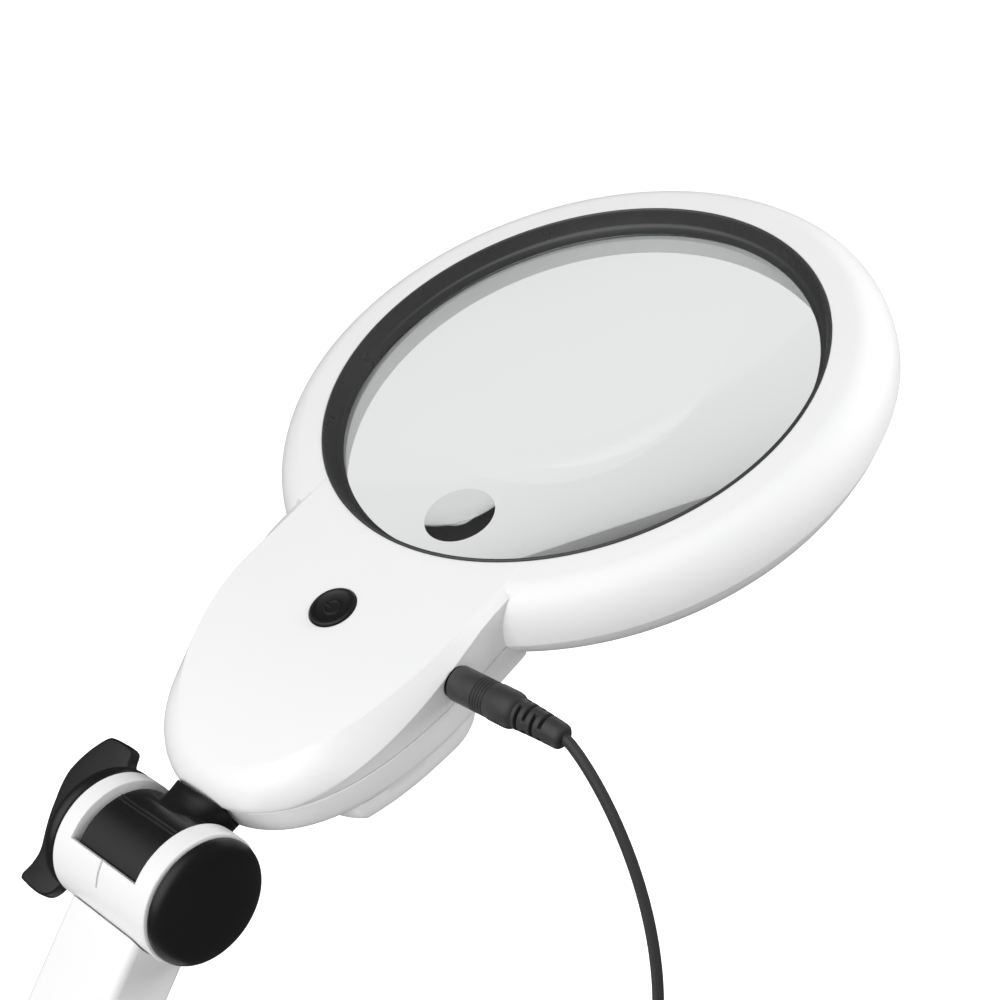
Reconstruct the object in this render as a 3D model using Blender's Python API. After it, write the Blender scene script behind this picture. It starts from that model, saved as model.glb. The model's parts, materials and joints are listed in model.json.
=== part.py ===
"""Desk magnifying lamp: a lit lens head on a folding arm over a weighted oval base.

Frame: +X is the reach, from the base towards the lens. Both hinges turn about +Y.
+Z is up. The origin is the middle of the base's underside. Lengths are in metres.
"""

import math

import bmesh
import bpy
from mathutils import Matrix, Vector

MM = 0.001
GAP = 0.3 * MM

# ---- pose at rest -------------------------------------------------------------
ARM_LEAN = math.radians(34.7)       # arm from the vertical, leaning towards +X
HEAD_TILT = math.radians(25.0)      # lens plane above the horizontal
KNOB_ANGLE = math.radians(43.0)     # wing of a knob above the horizontal

# ---- base ---------------------------------------------------------------------
BASE_LENGTH = 190.0 * MM
BASE_WIDTH = 150.0 * MM
BASE_POWER = 2.5                    # superellipse exponent of the oval
BASE_TOP = 22.5 * MM
PAD_TOP = 1.2 * MM
WEIGHT_BOTTOM = 5.2 * MM
WEIGHT_TOP = 13.2 * MM
LOWER_HINGE_X = -52.0 * MM
LOWER_HINGE_Z = 47.0 * MM

# ---- arm and hinges -----------------------------------------------------------
ARM_LENGTH = 210.0 * MM             # hinge axis to hinge axis
ARM_WIDTH = 26.0 * MM               # along Y
ARM_DEPTH = 18.0 * MM
ARM_WALL = 1.8 * MM
BARREL_RADIUS = 16.0 * MM
BARREL_HALF = 18.0 * MM
WINDOW_HALF = 12.5 * MM
WINDOW_ANGLE = math.radians(92.0)   # window edge from the arm's line
KNUCKLE_RADIUS = 14.6 * MM
KNUCKLE_HALF = 11.2 * MM
WASHER_THICKNESS = 0.8 * MM
STUD_RADIUS = 2.5 * MM
STUD_BORE = 2.8 * MM
NUT_RADIUS = 4.6 * MM
SPIGOT_LENGTH = 34.0 * MM

# ---- lens head ----------------------------------------------------------------
HINGE_TO_LENS = 164.1 * MM          # hinge axis to lens axis, along the head
HINGE_DROP = 17.75 * MM             # hinge axis below the head's top face
OPENING_RADIUS = 70.3 * MM          # hole in the upper shell that holds the bezel
RING_FLAT_RADIUS = 75.5 * MM
RING_RADIUS = 85.0 * MM
RING_WIDEST = -12.0 * MM
SEAM = -13.5 * MM
RING_BOTTOM = -21.0 * MM
SHELL_WALL = 2.0 * MM
BEZEL_RADIUS = 70.0 * MM
LENS_RADIUS = 69.9 * MM
LENS_SAG = 5.9 * MM
LENS_EDGE_TOP = -7.37 * MM
LENS_EDGE_BOTTOM = -9.93 * MM
INSET_RADIUS = 10.0 * MM
INSET_OFFSET = 49.0 * MM            # from the lens axis towards the handle
INSET_SIDE = 0.0 * MM               # from the head's middle plane towards -Y
INSET_SEAT = -12.0 * MM             # flat seat cut in the underside of the main lens
INSET_EDGE = 1.0 * MM
INSET_SAG = 1.5 * MM
WINDOW_RADIUS = 65.6 * MM           # clear hole through the lower shell
LED_COUNT = 10
LED_CIRCLE = 74.7 * MM

# ---- handle of the head (along is measured from the lens axis towards the hinge)
HANDLE_START = 58.0 * MM
HANDLE_SHOULDER = 85.0 * MM
HANDLE_TIP = 146.5 * MM
HANDLE_HALF = 38.6 * MM
HANDLE_POWER = 2.5
HANDLE_ROOT = 0.4545
HANDLE_BOTTOM = -23.3 * MM
BELLY_BOTTOM = -29.0 * MM
BELLY_START = 80.5 * MM
BELLY_END = 128.5 * MM
CAVITY_START = 83.0 * MM
TANG_BOTTOM = -21.5 * MM            # tang of the neck inside the handle's tip
TANG_TOP = -12.6 * MM

# ---- parts inside the handle ----------------------------------------------------
BUTTON_ALONG = 93.2 * MM
BUTTON_RADIUS = 6.0 * MM
BATTERY_RADIUS = 5.25 * MM
BATTERY_LENGTH = 44.5 * MM
BATTERY_START = 84.8 * MM
BATTERY_PITCH = 11.0 * MM
BATTERY_Z = -16.0 * MM
BOARD_TOP = -8.2 * MM
BOARD_BOTTOM = -9.4 * MM

# ---- power lead -----------------------------------------------------------------
PLUG_ALONG = 92.3 * MM
PLUG_Z = -8.0 * MM
PLUG_SIDE = 38.7 * MM               # where the plug meets the handle's wall
PLUG_RADIUS = 4.5 * MM
PLUG_LENGTH = 19.8 * MM
LEAD_RADIUS = 1.4 * MM
LEAD_DROP = 108.0 * MM              # plug axis down to the connector at the lead's end

# ---- mesh fineness --------------------------------------------------------------
RING_STEPS = 48
HINGE_STEPS = 24
SMALL_STEPS = 12
SMOOTH_ANGLE = math.radians(35.0)


# ================================ mesh helpers ===================================

def circle(radius, steps, phase=0.0):
    """Points of a circle in the XY plane."""
    turn = 2.0 * math.pi / steps
    return [Vector((radius * math.cos(phase + turn * i), radius * math.sin(phase + turn * i), 0.0))
            for i in range(steps)]


def join_loops(mesh, first, second):
    """Skin two loops of vertices; a loop of one vertex makes a fan."""
    count = max(len(first), len(second))
    for i in range(count):
        j = (i + 1) % count
        corners = [first[i % len(first)], first[j % len(first)],
                   second[j % len(second)], second[i % len(second)]]
        unique = list(dict.fromkeys(corners))
        if len(unique) > 2:
            mesh.faces.new(unique)


def revolve(profile, steps=RING_STEPS, closed=False):
    """Turn (radius, height) points about Z. A closed profile makes a ring."""
    mesh = bmesh.new()
    rings = []
    for radius, height in profile:
        if radius < 1e-7:
            rings.append([mesh.verts.new((0.0, 0.0, height))])
        else:
            rings.append([mesh.verts.new(p + Vector((0.0, 0.0, height)))
                          for p in circle(radius, steps)])
    for lower, upper in zip(rings, rings[1:]):
        join_loops(mesh, lower, upper)
    if closed:
        join_loops(mesh, rings[-1], rings[0])
    else:
        for ring in (rings[0], rings[-1]):
            if len(ring) > 1:
                mesh.faces.new(ring)
    return outward(mesh)


def loft(loops, mirrored_caps=False):
    """Skin loops of points. Mirrored caps join point i to its mirror image on the loop."""
    mesh = bmesh.new()
    rings = [[mesh.verts.new(p) for p in loop] for loop in loops]
    for lower, upper in zip(rings, rings[1:]):
        join_loops(mesh, lower, upper)
    for ring in (rings[0], rings[-1]):
        if not mirrored_caps:
            mesh.faces.new(ring)
            continue
        last = len(ring) - 1
        for i in range(len(ring) // 2):
            corners = [ring[i], ring[i + 1], ring[last - i - 1], ring[last - i]]
            unique = list(dict.fromkeys(corners))
            if len(unique) > 2:
                mesh.faces.new(unique)
    return outward(mesh)


def prism(outline, bottom, top):
    """Straight solid over a flat outline."""
    return loft([[Vector((p[0], p[1], z)) for p in outline] for z in (bottom, top)])


def block(low, high):
    """Box between two corners."""
    outline = [(low[0], low[1]), (high[0], low[1]), (high[0], high[1]), (low[0], high[1])]
    return prism(outline, low[2], high[2])


def cylinder(radius, bottom, top, steps=SMALL_STEPS, centre=(0.0, 0.0)):
    """Upright round bar."""
    return moved(revolve([(radius, bottom), (radius, top)], steps), (centre[0], centre[1], 0.0))


def rounded_rectangle(length, width, radius, steps=4):
    """Outline with round corners, centred on the origin."""
    points = []
    corners = [(1, 1, 0.0), (-1, 1, 0.5), (-1, -1, 1.0), (1, -1, 1.5)]
    for sign_x, sign_y, turn in corners:
        centre = Vector((sign_x * (length / 2 - radius), sign_y * (width / 2 - radius), 0.0))
        for i in range(steps + 1):
            angle = math.pi * (turn + 0.5 * i / steps)
            points.append(centre + radius * Vector((math.cos(angle), math.sin(angle), 0.0)))
    return points


def tube_along(path, radii, steps):
    """Round bar that follows a path in the YZ plane, with one radius for each path point."""
    loops = []
    for i, point in enumerate(path):
        before = path[max(i - 1, 0)]
        after = path[min(i + 1, len(path) - 1)]
        tangent = (after - before).normalized()
        across = Vector((1.0, 0.0, 0.0))
        up = tangent.cross(across)
        loops.append([point + radii[i] * (math.cos(a) * across + math.sin(a) * up)
                      for a in (2.0 * math.pi * k / steps for k in range(steps))])
    return loft(loops)


def outward(mesh):
    """Point every face away from the solid."""
    bmesh.ops.recalc_face_normals(mesh, faces=mesh.faces)
    return mesh


def moved(mesh, offset):
    """Shift a mesh."""
    mesh.transform(Matrix.Translation(Vector(offset)))
    return mesh


def along_y(mesh):
    """Lay a mesh turned about Z along the Y axis."""
    mesh.transform(Matrix.Rotation(math.radians(-90.0), 4, 'X'))
    return mesh


def along_x(mesh):
    """Lay a mesh turned about Z along the X axis."""
    mesh.transform(Matrix.Rotation(math.radians(90.0), 4, 'Y'))
    return mesh


def loose_object(mesh):
    """Put a mesh in the scene for one Boolean, and free it."""
    data = bpy.data.meshes.new("tool")
    mesh.to_mesh(data)
    mesh.free()
    item = bpy.data.objects.new("tool", data)
    bpy.context.scene.collection.objects.link(item)
    return item


def boolean(body, tool, operation):
    """Join or cut one closed mesh with another."""
    body_item = loose_object(body)
    tool_item = loose_object(tool)
    modifier = body_item.modifiers.new("boolean", 'BOOLEAN')
    modifier.operation = operation
    modifier.solver = 'EXACT'
    modifier.object = tool_item
    result = bmesh.new()
    evaluated = body_item.evaluated_get(bpy.context.evaluated_depsgraph_get())
    result.from_mesh(evaluated.to_mesh())
    evaluated.to_mesh_clear()
    for item in (body_item, tool_item):
        data = item.data
        bpy.data.objects.remove(item)
        bpy.data.meshes.remove(data)
    bmesh.ops.remove_doubles(result, verts=result.verts, dist=1e-7)
    return result


def fuse(body, *tools):
    """Union of solids."""
    for tool in tools:
        body = boolean(body, tool, 'UNION')
    return body


def carve(body, *tools):
    """Solid with other solids cut away."""
    for tool in tools:
        body = boolean(body, tool, 'DIFFERENCE')
    return body


# ================================ scene helpers ==================================

def empty_scene():
    """Remove every object that the scene starts with."""
    for item in list(bpy.data.objects):
        bpy.data.objects.remove(item)


def material(name, colour, roughness, metallic=0.0, transmission=0.0):
    """Principled material."""
    item = bpy.data.materials.new(name)
    item.use_nodes = True
    shader = item.node_tree.nodes["Principled BSDF"]
    shader.inputs["Base Color"].default_value = (*colour, 1.0)
    shader.inputs["Roughness"].default_value = roughness
    shader.inputs["Metallic"].default_value = metallic
    shader.inputs["Transmission Weight"].default_value = transmission
    item.diffuse_color = (*colour, 1.0)
    return item


def frame_empty(name, location, turn=0.0, parent=None):
    """Empty that carries the pieces of one moving body; turn is about Y, +X towards +Z."""
    item = bpy.data.objects.new(name, None)
    item.empty_display_size = 0.01
    item.location = location
    item.rotation_euler = (0.0, -turn, 0.0)
    item.parent = parent
    bpy.context.scene.collection.objects.link(item)
    return item


def add(name, mesh, look, parent, location=(0.0, 0.0, 0.0), turn=0.0):
    """Add one named piece under its frame."""
    data = bpy.data.meshes.new(name)
    mesh.to_mesh(data)
    mesh.free()
    data.materials.append(look)
    data.shade_smooth()
    data.set_sharp_from_angle(angle=SMOOTH_ANGLE)
    return place(name, data, parent, location, turn)


def place(name, data, parent, location=(0.0, 0.0, 0.0), turn=0.0):
    """Add an object that uses a finished mesh."""
    item = bpy.data.objects.new(name, data)
    item.location = location
    item.rotation_euler = (0.0, -turn, 0.0)
    item.parent = parent
    bpy.context.scene.collection.objects.link(item)
    return item


# ================================ fasteners ======================================

def screw_mesh(shank_radius, head_radius, head_height, length):
    """Pan-head screw standing on its head: the head's face is at z = 0."""
    profile = [(0.0, 0.0), (0.7 * head_radius, 0.0), (head_radius, 0.4 * head_height),
               (head_radius, head_height), (shank_radius, head_height),
               (shank_radius, length - shank_radius), (0.0, length)]
    recess = block((-0.5 * head_radius, -0.13 * head_radius, -head_height),
                   (0.5 * head_radius, 0.13 * head_radius, 0.45 * head_height))
    return carve(revolve(profile, SMALL_STEPS), recess)


# ================================ base ===========================================

def oval(inset, height, steps=36):
    """Superellipse outline of the base, drawn in by an inset."""
    points = []
    for i in range(steps):
        angle = 2.0 * math.pi * (i + 0.5) / steps
        cosine, sine = math.cos(angle), math.sin(angle)
        reach_x = math.copysign(abs(cosine) ** (2.0 / BASE_POWER), cosine)
        reach_y = math.copysign(abs(sine) ** (2.0 / BASE_POWER), sine)
        points.append(Vector(((BASE_LENGTH / 2 - inset) * reach_x,
                              (BASE_WIDTH / 2 - inset) * reach_y, height)))
    return points


BASE_SCREWS = [(x, y) for x in (-66.0 * MM, 66.0 * MM) for y in (-46.0 * MM, 46.0 * MM)]
NECK_SCREWS = [(LOWER_HINGE_X, y) for y in (-10.0 * MM, 10.0 * MM)]
FOOT_BOTTOM = WEIGHT_TOP + GAP
FOOT_TOP = FOOT_BOTTOM + 6.0 * MM
POST_HALF_X = 10.0 * MM
POST_HALF_Y = 10.0 * MM


def shoulder(bottom, top, depth, steps=4):
    """(inset, height) points of a quarter ellipse that rounds an edge over."""
    quarter = [0.5 * math.pi * i / steps for i in range(steps + 1)]
    return [(depth * (1.0 - math.cos(a)), bottom + (top - bottom) * math.sin(a)) for a in quarter]


def base_cover_mesh():
    outer = [(1.2 * MM, PAD_TOP + GAP), (0.0, 6.0 * MM)] + shoulder(9.0 * MM, BASE_TOP, 15.0 * MM)
    inner = [(2.0 * MM, 0.0), (2.0 * MM, 8.0 * MM)] + [
        (inset + 2.2 * MM, z - 2.2 * MM) for inset, z in shoulder(11.0 * MM, BASE_TOP, 15.0 * MM, 3)]
    cover = loft([oval(inset, z) for inset, z in outer])
    cover = carve(cover, loft([oval(inset, z) for inset, z in inner]))
    post_hole = rounded_rectangle(2 * (POST_HALF_X + GAP), 2 * (POST_HALF_Y + GAP), 3.0 * MM)
    cover = carve(cover, moved(prism(post_hole, 18.0 * MM, 30.0 * MM), (LOWER_HINGE_X, 0.0, 0.0)))
    for spot in BASE_SCREWS:
        boss = revolve([(3.6 * MM, 3.9 * MM), (3.6 * MM, 20.0 * MM), (1.7 * MM, 20.0 * MM),
                        (1.7 * MM, 3.9 * MM)], SMALL_STEPS, closed=True)
        cover = fuse(cover, moved(boss, (*spot, 0.0)))
    return cover


def base_weight_mesh():
    weight = prism(oval(8.0 * MM, 0.0), WEIGHT_BOTTOM, WEIGHT_TOP)
    for spot in BASE_SCREWS:
        weight = carve(weight, cylinder(4.2 * MM, 0.0, 0.03, centre=spot))
    for spot in NECK_SCREWS:
        weight = carve(weight, cylinder(2.4 * MM, 0.0, 0.03, centre=spot),
                       cylinder(4.2 * MM, 0.0, WEIGHT_BOTTOM + 3.2 * MM, centre=spot))
    return weight


def base_plate_mesh():
    plate = prism(oval(2.6 * MM, 0.0), PAD_TOP + GAP, 3.5 * MM)
    for spot in BASE_SCREWS:
        plate = carve(plate, cylinder(1.8 * MM, 0.0, 0.01, centre=spot),
                      cylinder(3.2 * MM, 0.0, 2.8 * MM, centre=spot))
    return plate


def base_neck_mesh():
    """Knuckle of the lower hinge on its post and foot; the origin is on the hinge axis."""
    foot = moved(prism(rounded_rectangle(34.0 * MM, 34.0 * MM, 4.0 * MM), FOOT_BOTTOM, FOOT_TOP),
                 (0.0, 0.0, -LOWER_HINGE_Z))
    sections = [(POST_HALF_X - 0.4 * MM, POST_HALF_Y, FOOT_TOP - 1.0 * MM - LOWER_HINGE_Z),
                (POST_HALF_X - 0.4 * MM, POST_HALF_Y, BASE_TOP - LOWER_HINGE_Z),
                (8.0 * MM, 8.4 * MM, -17.5 * MM), (9.0 * MM, 9.6 * MM, -8.0 * MM)]
    post = loft([[p + Vector((0.0, 0.0, z)) for p in rounded_rectangle(2 * x, 2 * y, 3.0 * MM)]
                 for x, y, z in sections])
    neck = fuse(foot, post, knuckle_mesh())
    for spot in NECK_SCREWS:
        hole = cylinder(2.3 * MM, FOOT_BOTTOM - 0.01, FOOT_TOP - 1.2 * MM)
        neck = carve(neck, moved(hole, (0.0, spot[1], -LOWER_HINGE_Z)))
    return carve(neck, knuckle_bore())


def build_base(looks):
    root = frame_empty("base_frame", (0.0, 0.0, 0.0))
    add("base_pad", prism(oval(5.0 * MM, 0.0), 0.0, PAD_TOP), looks["foam"], root)
    add("base_plate", base_plate_mesh(), looks["black"], root)
    add("base_weight", base_weight_mesh(), looks["iron"], root)
    add("base_cover", base_cover_mesh(), looks["white"], root)
    add("base_neck", base_neck_mesh(), looks["black"], root, (LOWER_HINGE_X, 0.0, LOWER_HINGE_Z))
    screw = None
    for number, spot in enumerate(BASE_SCREWS, 1):
        where = (*spot, PAD_TOP + GAP + 0.1 * MM)
        if screw is None:
            screw = add("base_screw_1", screw_mesh(1.4 * MM, 2.8 * MM, 1.1 * MM, 11.0 * MM),
                        looks["steel"], root, where)
        else:
            place(f"base_screw_{number}", screw.data, root, where)
    first = add("neck_screw_1", screw_mesh(2.0 * MM, 3.8 * MM, 2.6 * MM, 11.5 * MM),
                looks["steel"], root, (*NECK_SCREWS[0], WEIGHT_BOTTOM + 0.3 * MM))
    place("neck_screw_2", first.data, root, (*NECK_SCREWS[1], WEIGHT_BOTTOM + 0.3 * MM))
    return root


# ================================ hinges =========================================

def knuckle_mesh():
    return along_y(revolve([(KNUCKLE_RADIUS, -KNUCKLE_HALF), (KNUCKLE_RADIUS, KNUCKLE_HALF)],
                           HINGE_STEPS))


def knuckle_bore():
    return along_y(cylinder(STUD_BORE, -0.03, 0.03))


def window_wedge():
    """Space of the window: a sector about Y, centred on +Z, a hair narrower than the pocket."""
    steps = 10
    half = WINDOW_HALF - 0.04 * MM
    reach = 1.3 * BARREL_RADIUS
    outline = [Vector((0.0, 0.0, 0.0))]
    for i in range(steps + 1):
        angle = WINDOW_ANGLE * (2.0 * i / steps - 1.0)
        outline.append(Vector((reach * math.sin(angle), reach * math.cos(angle), 0.0)))
    wedge = prism(outline, -half, half)
    wedge.transform(Matrix.Rotation(math.radians(90.0), 4, 'X'))
    return outward(wedge)


def housing_mesh():
    """Barrel with its spigot: the axis is Y, the window faces +Z, the spigot points to -Z."""
    edge = 0.8 * MM
    barrel = along_y(revolve([
        (BARREL_RADIUS - edge, -BARREL_HALF), (BARREL_RADIUS, -BARREL_HALF + edge),
        (BARREL_RADIUS, BARREL_HALF - edge), (BARREL_RADIUS - edge, BARREL_HALF)], HINGE_STEPS))
    play = ARM_WALL + GAP
    spigot_outline = rounded_rectangle(ARM_DEPTH - 2 * play, ARM_WIDTH - 2 * play, 1.5 * MM, 2)
    body = fuse(barrel, prism(spigot_outline, -SPIGOT_LENGTH, -12.0 * MM))
    pocket = along_y(cylinder(KNUCKLE_RADIUS + 0.4 * MM, -WINDOW_HALF, WINDOW_HALF, HINGE_STEPS))
    bore = along_y(cylinder(STUD_BORE, -0.03, 0.03))
    nut_pocket = along_y(cylinder(NUT_RADIUS + GAP, -0.03, -14.6 * MM, 6))
    screw_hole = along_x(cylinder(1.5 * MM, -0.02, 0.02))
    return carve(body, pocket, window_wedge(), bore, nut_pocket,
                 moved(screw_hole, (0.0, 0.0, -SPIGOT_LENGTH + 6.0 * MM)))


def cap_mesh():
    """Domed cover of the nut, on the -Y end."""
    outer_face = BARREL_HALF + GAP
    rim = 15.4 * MM
    return along_y(revolve([
        (NUT_RADIUS + 1.2 * MM, -outer_face), (rim, -outer_face), (rim, -outer_face - 1.3 * MM),
        (14.3 * MM, -outer_face - 3.2 * MM), (11.6 * MM, -outer_face - 4.4 * MM),
        (7.0 * MM, -outer_face - 5.0 * MM), (0.0, -outer_face - 5.2 * MM),
        (0.0, -outer_face - 2.2 * MM), (NUT_RADIUS + 1.2 * MM, -outer_face - 2.2 * MM)],
        HINGE_STEPS, closed=True))


def knob_mesh():
    """Wing knob on the +Y end; the wing lies along X."""
    face = BARREL_HALF + GAP
    disc = along_y(revolve([
        (0.0, face), (15.6 * MM, face), (16.0 * MM, face + 1.0 * MM), (16.0 * MM, 23.5 * MM),
        (14.6 * MM, 25.6 * MM), (10.0 * MM, 27.4 * MM), (0.0, 28.4 * MM)], HINGE_STEPS))
    right_end = [(13.0, 22.0), (16.2, 25.2), (18.6, 26.2), (19.5, 31.0), (18.5, 36.2)]
    arch = [(12.0, 40.4), (7.1, 41.9), (-0.5, 40.6), (-8.5, 37.4), (-16.0, 35.3)]
    left_end = [(-19.9, 36.3), (-20.8, 30.0), (-19.6, 24.9), (-13.0, 22.0)]
    outline = [Vector((x * MM, y * MM, 0.0)) for x, y in right_end + arch + left_end]
    wing = prism(outline, -1.7 * MM, 1.7 * MM)
    knob = fuse(disc, wing)
    return carve(knob, along_y(cylinder(STUD_RADIUS + GAP, 0.0, 24.0 * MM)))


def build_hinge(prefix, pivot, knob_frame, looks, turn, meshes):
    """One complete hinge set about a pivot. turn aims the housing's spigot."""
    if not meshes:
        washer_inner = KNUCKLE_HALF + 0.25 * MM
        stud = along_y(revolve([
            (STUD_RADIUS, -19.2 * MM), (STUD_RADIUS, 23.4 * MM)], SMALL_STEPS))
        nut = along_y(carve(cylinder(NUT_RADIUS, -19.4 * MM, -15.0 * MM, 6),
                            cylinder(STUD_BORE, -0.03, 0.0)))
        washer = along_y(revolve([
            (STUD_BORE + GAP, washer_inner), (12.0 * MM, washer_inner),
            (12.0 * MM, washer_inner + WASHER_THICKNESS),
            (STUD_BORE + GAP, washer_inner + WASHER_THICKNESS)], HINGE_STEPS, closed=True))
        shapes = {"housing": (housing_mesh(), "white"), "cap": (cap_mesh(), "black"),
                  "nut": (nut, "steel"), "washer": (washer, "fibre"),
                  "knob": (knob_mesh(), "black"), "stud": (stud, "steel")}
        for part, (mesh, look) in shapes.items():
            data = bpy.data.meshes.new("hinge_" + part)
            mesh.to_mesh(data)
            mesh.free()
            data.materials.append(looks[look])
            data.shade_smooth()
            data.set_sharp_from_angle(angle=SMOOTH_ANGLE)
            meshes[part] = data
    spot = pivot["location"]
    parent = pivot["parent"]
    place(prefix + "_housing", meshes["housing"], parent, spot, turn)
    place(prefix + "_cap", meshes["cap"], parent, spot, turn)
    place(prefix + "_nut", meshes["nut"], parent, spot, turn)
    place(prefix + "_washer_left", meshes["washer"], parent, spot)
    right = place(prefix + "_washer_right", meshes["washer"], parent, spot)
    right.rotation_euler = (0.0, 0.0, math.pi)
    place(prefix + "_knob", meshes["knob"], knob_frame)
    place(prefix + "_stud", meshes["stud"], knob_frame)


# ================================ arm ============================================

def arm_tube_mesh():
    """Rectangular tube along Z between the two barrels, saddle-cut at both ends."""
    outer = rounded_rectangle(ARM_DEPTH, ARM_WIDTH, 2.5 * MM)
    inner = rounded_rectangle(ARM_DEPTH - 2 * ARM_WALL, ARM_WIDTH - 2 * ARM_WALL, 1.0 * MM)
    tube = carve(prism(outer, 8.0 * MM, ARM_LENGTH - 8.0 * MM), prism(inner, 0.0, ARM_LENGTH))
    for height in (0.0, ARM_LENGTH):
        saddle = along_y(cylinder(BARREL_RADIUS + GAP, -0.03, 0.03, 2 * HINGE_STEPS))
        tube = carve(tube, moved(saddle, (0.0, 0.0, height)))
    for height in arm_screw_heights():
        hole = along_x(cylinder(1.5 * MM, 0.0, 0.02))
        tube = carve(tube, moved(hole, (0.0, 0.0, height)))
    return tube


def arm_screw_heights():
    reach = SPIGOT_LENGTH - 6.0 * MM
    return (reach, ARM_LENGTH - reach)


def build_arm(root, looks):
    arm = frame_empty("arm_pivot", (LOWER_HINGE_X, 0.0, LOWER_HINGE_Z), -ARM_LEAN, root)
    knob_turn = KNOB_ANGLE + ARM_LEAN
    meshes = {}
    ends = [("lower_hinge", (0.0, 0.0, 0.0), math.pi),
            ("upper_hinge", (0.0, 0.0, ARM_LENGTH), 0.0)]
    for prefix, spot, turn in ends:
        knob_frame = frame_empty(prefix + "_knob_pivot", spot, knob_turn, arm)
        build_hinge(prefix, {"location": spot, "parent": arm}, knob_frame, looks, turn, meshes)
    add("arm_tube", arm_tube_mesh(), looks["white"], arm)
    shape = along_x(screw_mesh(1.2 * MM, 2.4 * MM, 1.6 * MM, 8.0 * MM))
    shape.transform(Matrix.Rotation(math.pi, 4, 'Z'))
    names = ("arm_screw_lower", "arm_screw_upper")
    spots = [(ARM_DEPTH / 2 + GAP + 1.6 * MM, 0.0, z) for z in arm_screw_heights()]
    first = add(names[0], shape, looks["steel"], arm, spots[0])
    place(names[1], first.data, arm, spots[1])
    return arm


# ================================ head shells ====================================

def handle_half_width(along, inset):
    """Half width of the handle's outline at a distance from the lens axis."""
    if along <= HANDLE_SHOULDER:
        return HANDLE_HALF - inset
    share = min((along - HANDLE_SHOULDER) / (HANDLE_TIP - inset - HANDLE_SHOULDER), 1.0)
    return (HANDLE_HALF - inset) * (1.0 - share ** HANDLE_POWER) ** HANDLE_ROOT


def handle_loop(inset, height, start=HANDLE_START, end=None, steps=9):
    """Outline of the handle with a height for each distance along it."""
    tip = HANDLE_TIP - inset if end is None else end
    distances = [start, HANDLE_SHOULDER]
    if start < CAVITY_START - 6.0 * MM:
        distances.insert(1, HANDLE_SHOULDER - 6.0 * MM)
    for i in range(1, steps):
        share = math.sin(0.5 * math.pi * i / steps)
        distances.append(HANDLE_SHOULDER + (tip - HANDLE_SHOULDER) * share ** 0.85)
    distances.append(tip)
    side = [Vector((-a, handle_half_width(a, inset), height(a))) for a in distances]
    if side[-1].y < 1e-6:
        side[-1].y = 0.0
        return side + [Vector((p.x, -p.y, p.z)) for p in reversed(side[:-1])]
    return side + [Vector((p.x, -p.y, p.z)) for p in reversed(side)]


def top_height(along):
    """The handle's top face falls away towards the hinge."""
    share = max(0.0, along - 95.0 * MM) / (HANDLE_TIP - 95.0 * MM)
    return -0.04 * MM - 6.5 * MM * share ** 2


def lip_height(along):
    """The widest edge of the handle slopes down towards the hinge."""
    share = min(max(0.0, (along - 70.0 * MM) / (67.0 * MM)), 1.0)
    return -2.5 * MM - 9.7 * MM * share


def level(height):
    return lambda along: height


def upper_handle(inset, top_drop, bottom):
    """Solid of the handle above the seam."""
    return loft([
        handle_loop(inset + 0.7 * MM, level(bottom)),
        handle_loop(inset, lambda a: lip_height(a) - 1.0 * MM),
        handle_loop(inset + 0.6 * MM, lambda a: lip_height(a) * 0.72 - top_drop),
        handle_loop(inset + 3.6 * MM, lambda a: top_height(a) - top_drop)], mirrored_caps=True)


def handle_cavity(bottom, top):
    """Straight-walled space inside the handle."""
    wall = SHELL_WALL + 1.0 * MM
    return loft([handle_loop(wall, level(z), CAVITY_START) for z in (bottom, top)])


def ring_shoulder():
    """Outer top edge of the ring: a quarter ellipse from the flat to the widest line."""
    steps = 5
    width = RING_RADIUS - RING_FLAT_RADIUS
    points = []
    for i in range(steps + 1):
        angle = 0.5 * math.pi * i / steps
        points.append((RING_FLAT_RADIUS + width * math.sin(angle),
                       RING_WIDEST * (1.0 - math.cos(angle))))
    return points


SHELL_SCREWS = [(133.0 * MM, 20.6 * MM), (133.0 * MM, -20.6 * MM),
                (102.0 * MM, 25.0 * MM), (102.0 * MM, -25.0 * MM)]
UPPER_SEAM = SEAM + 0.5 * GAP
LOWER_SEAM = SEAM - 0.5 * GAP


def screw_recess(along):
    """Height of the face that a shell screw's head bears on."""
    return HANDLE_BOTTOM + 2.4 * MM if along > BELLY_END else -25.0 * MM


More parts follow.
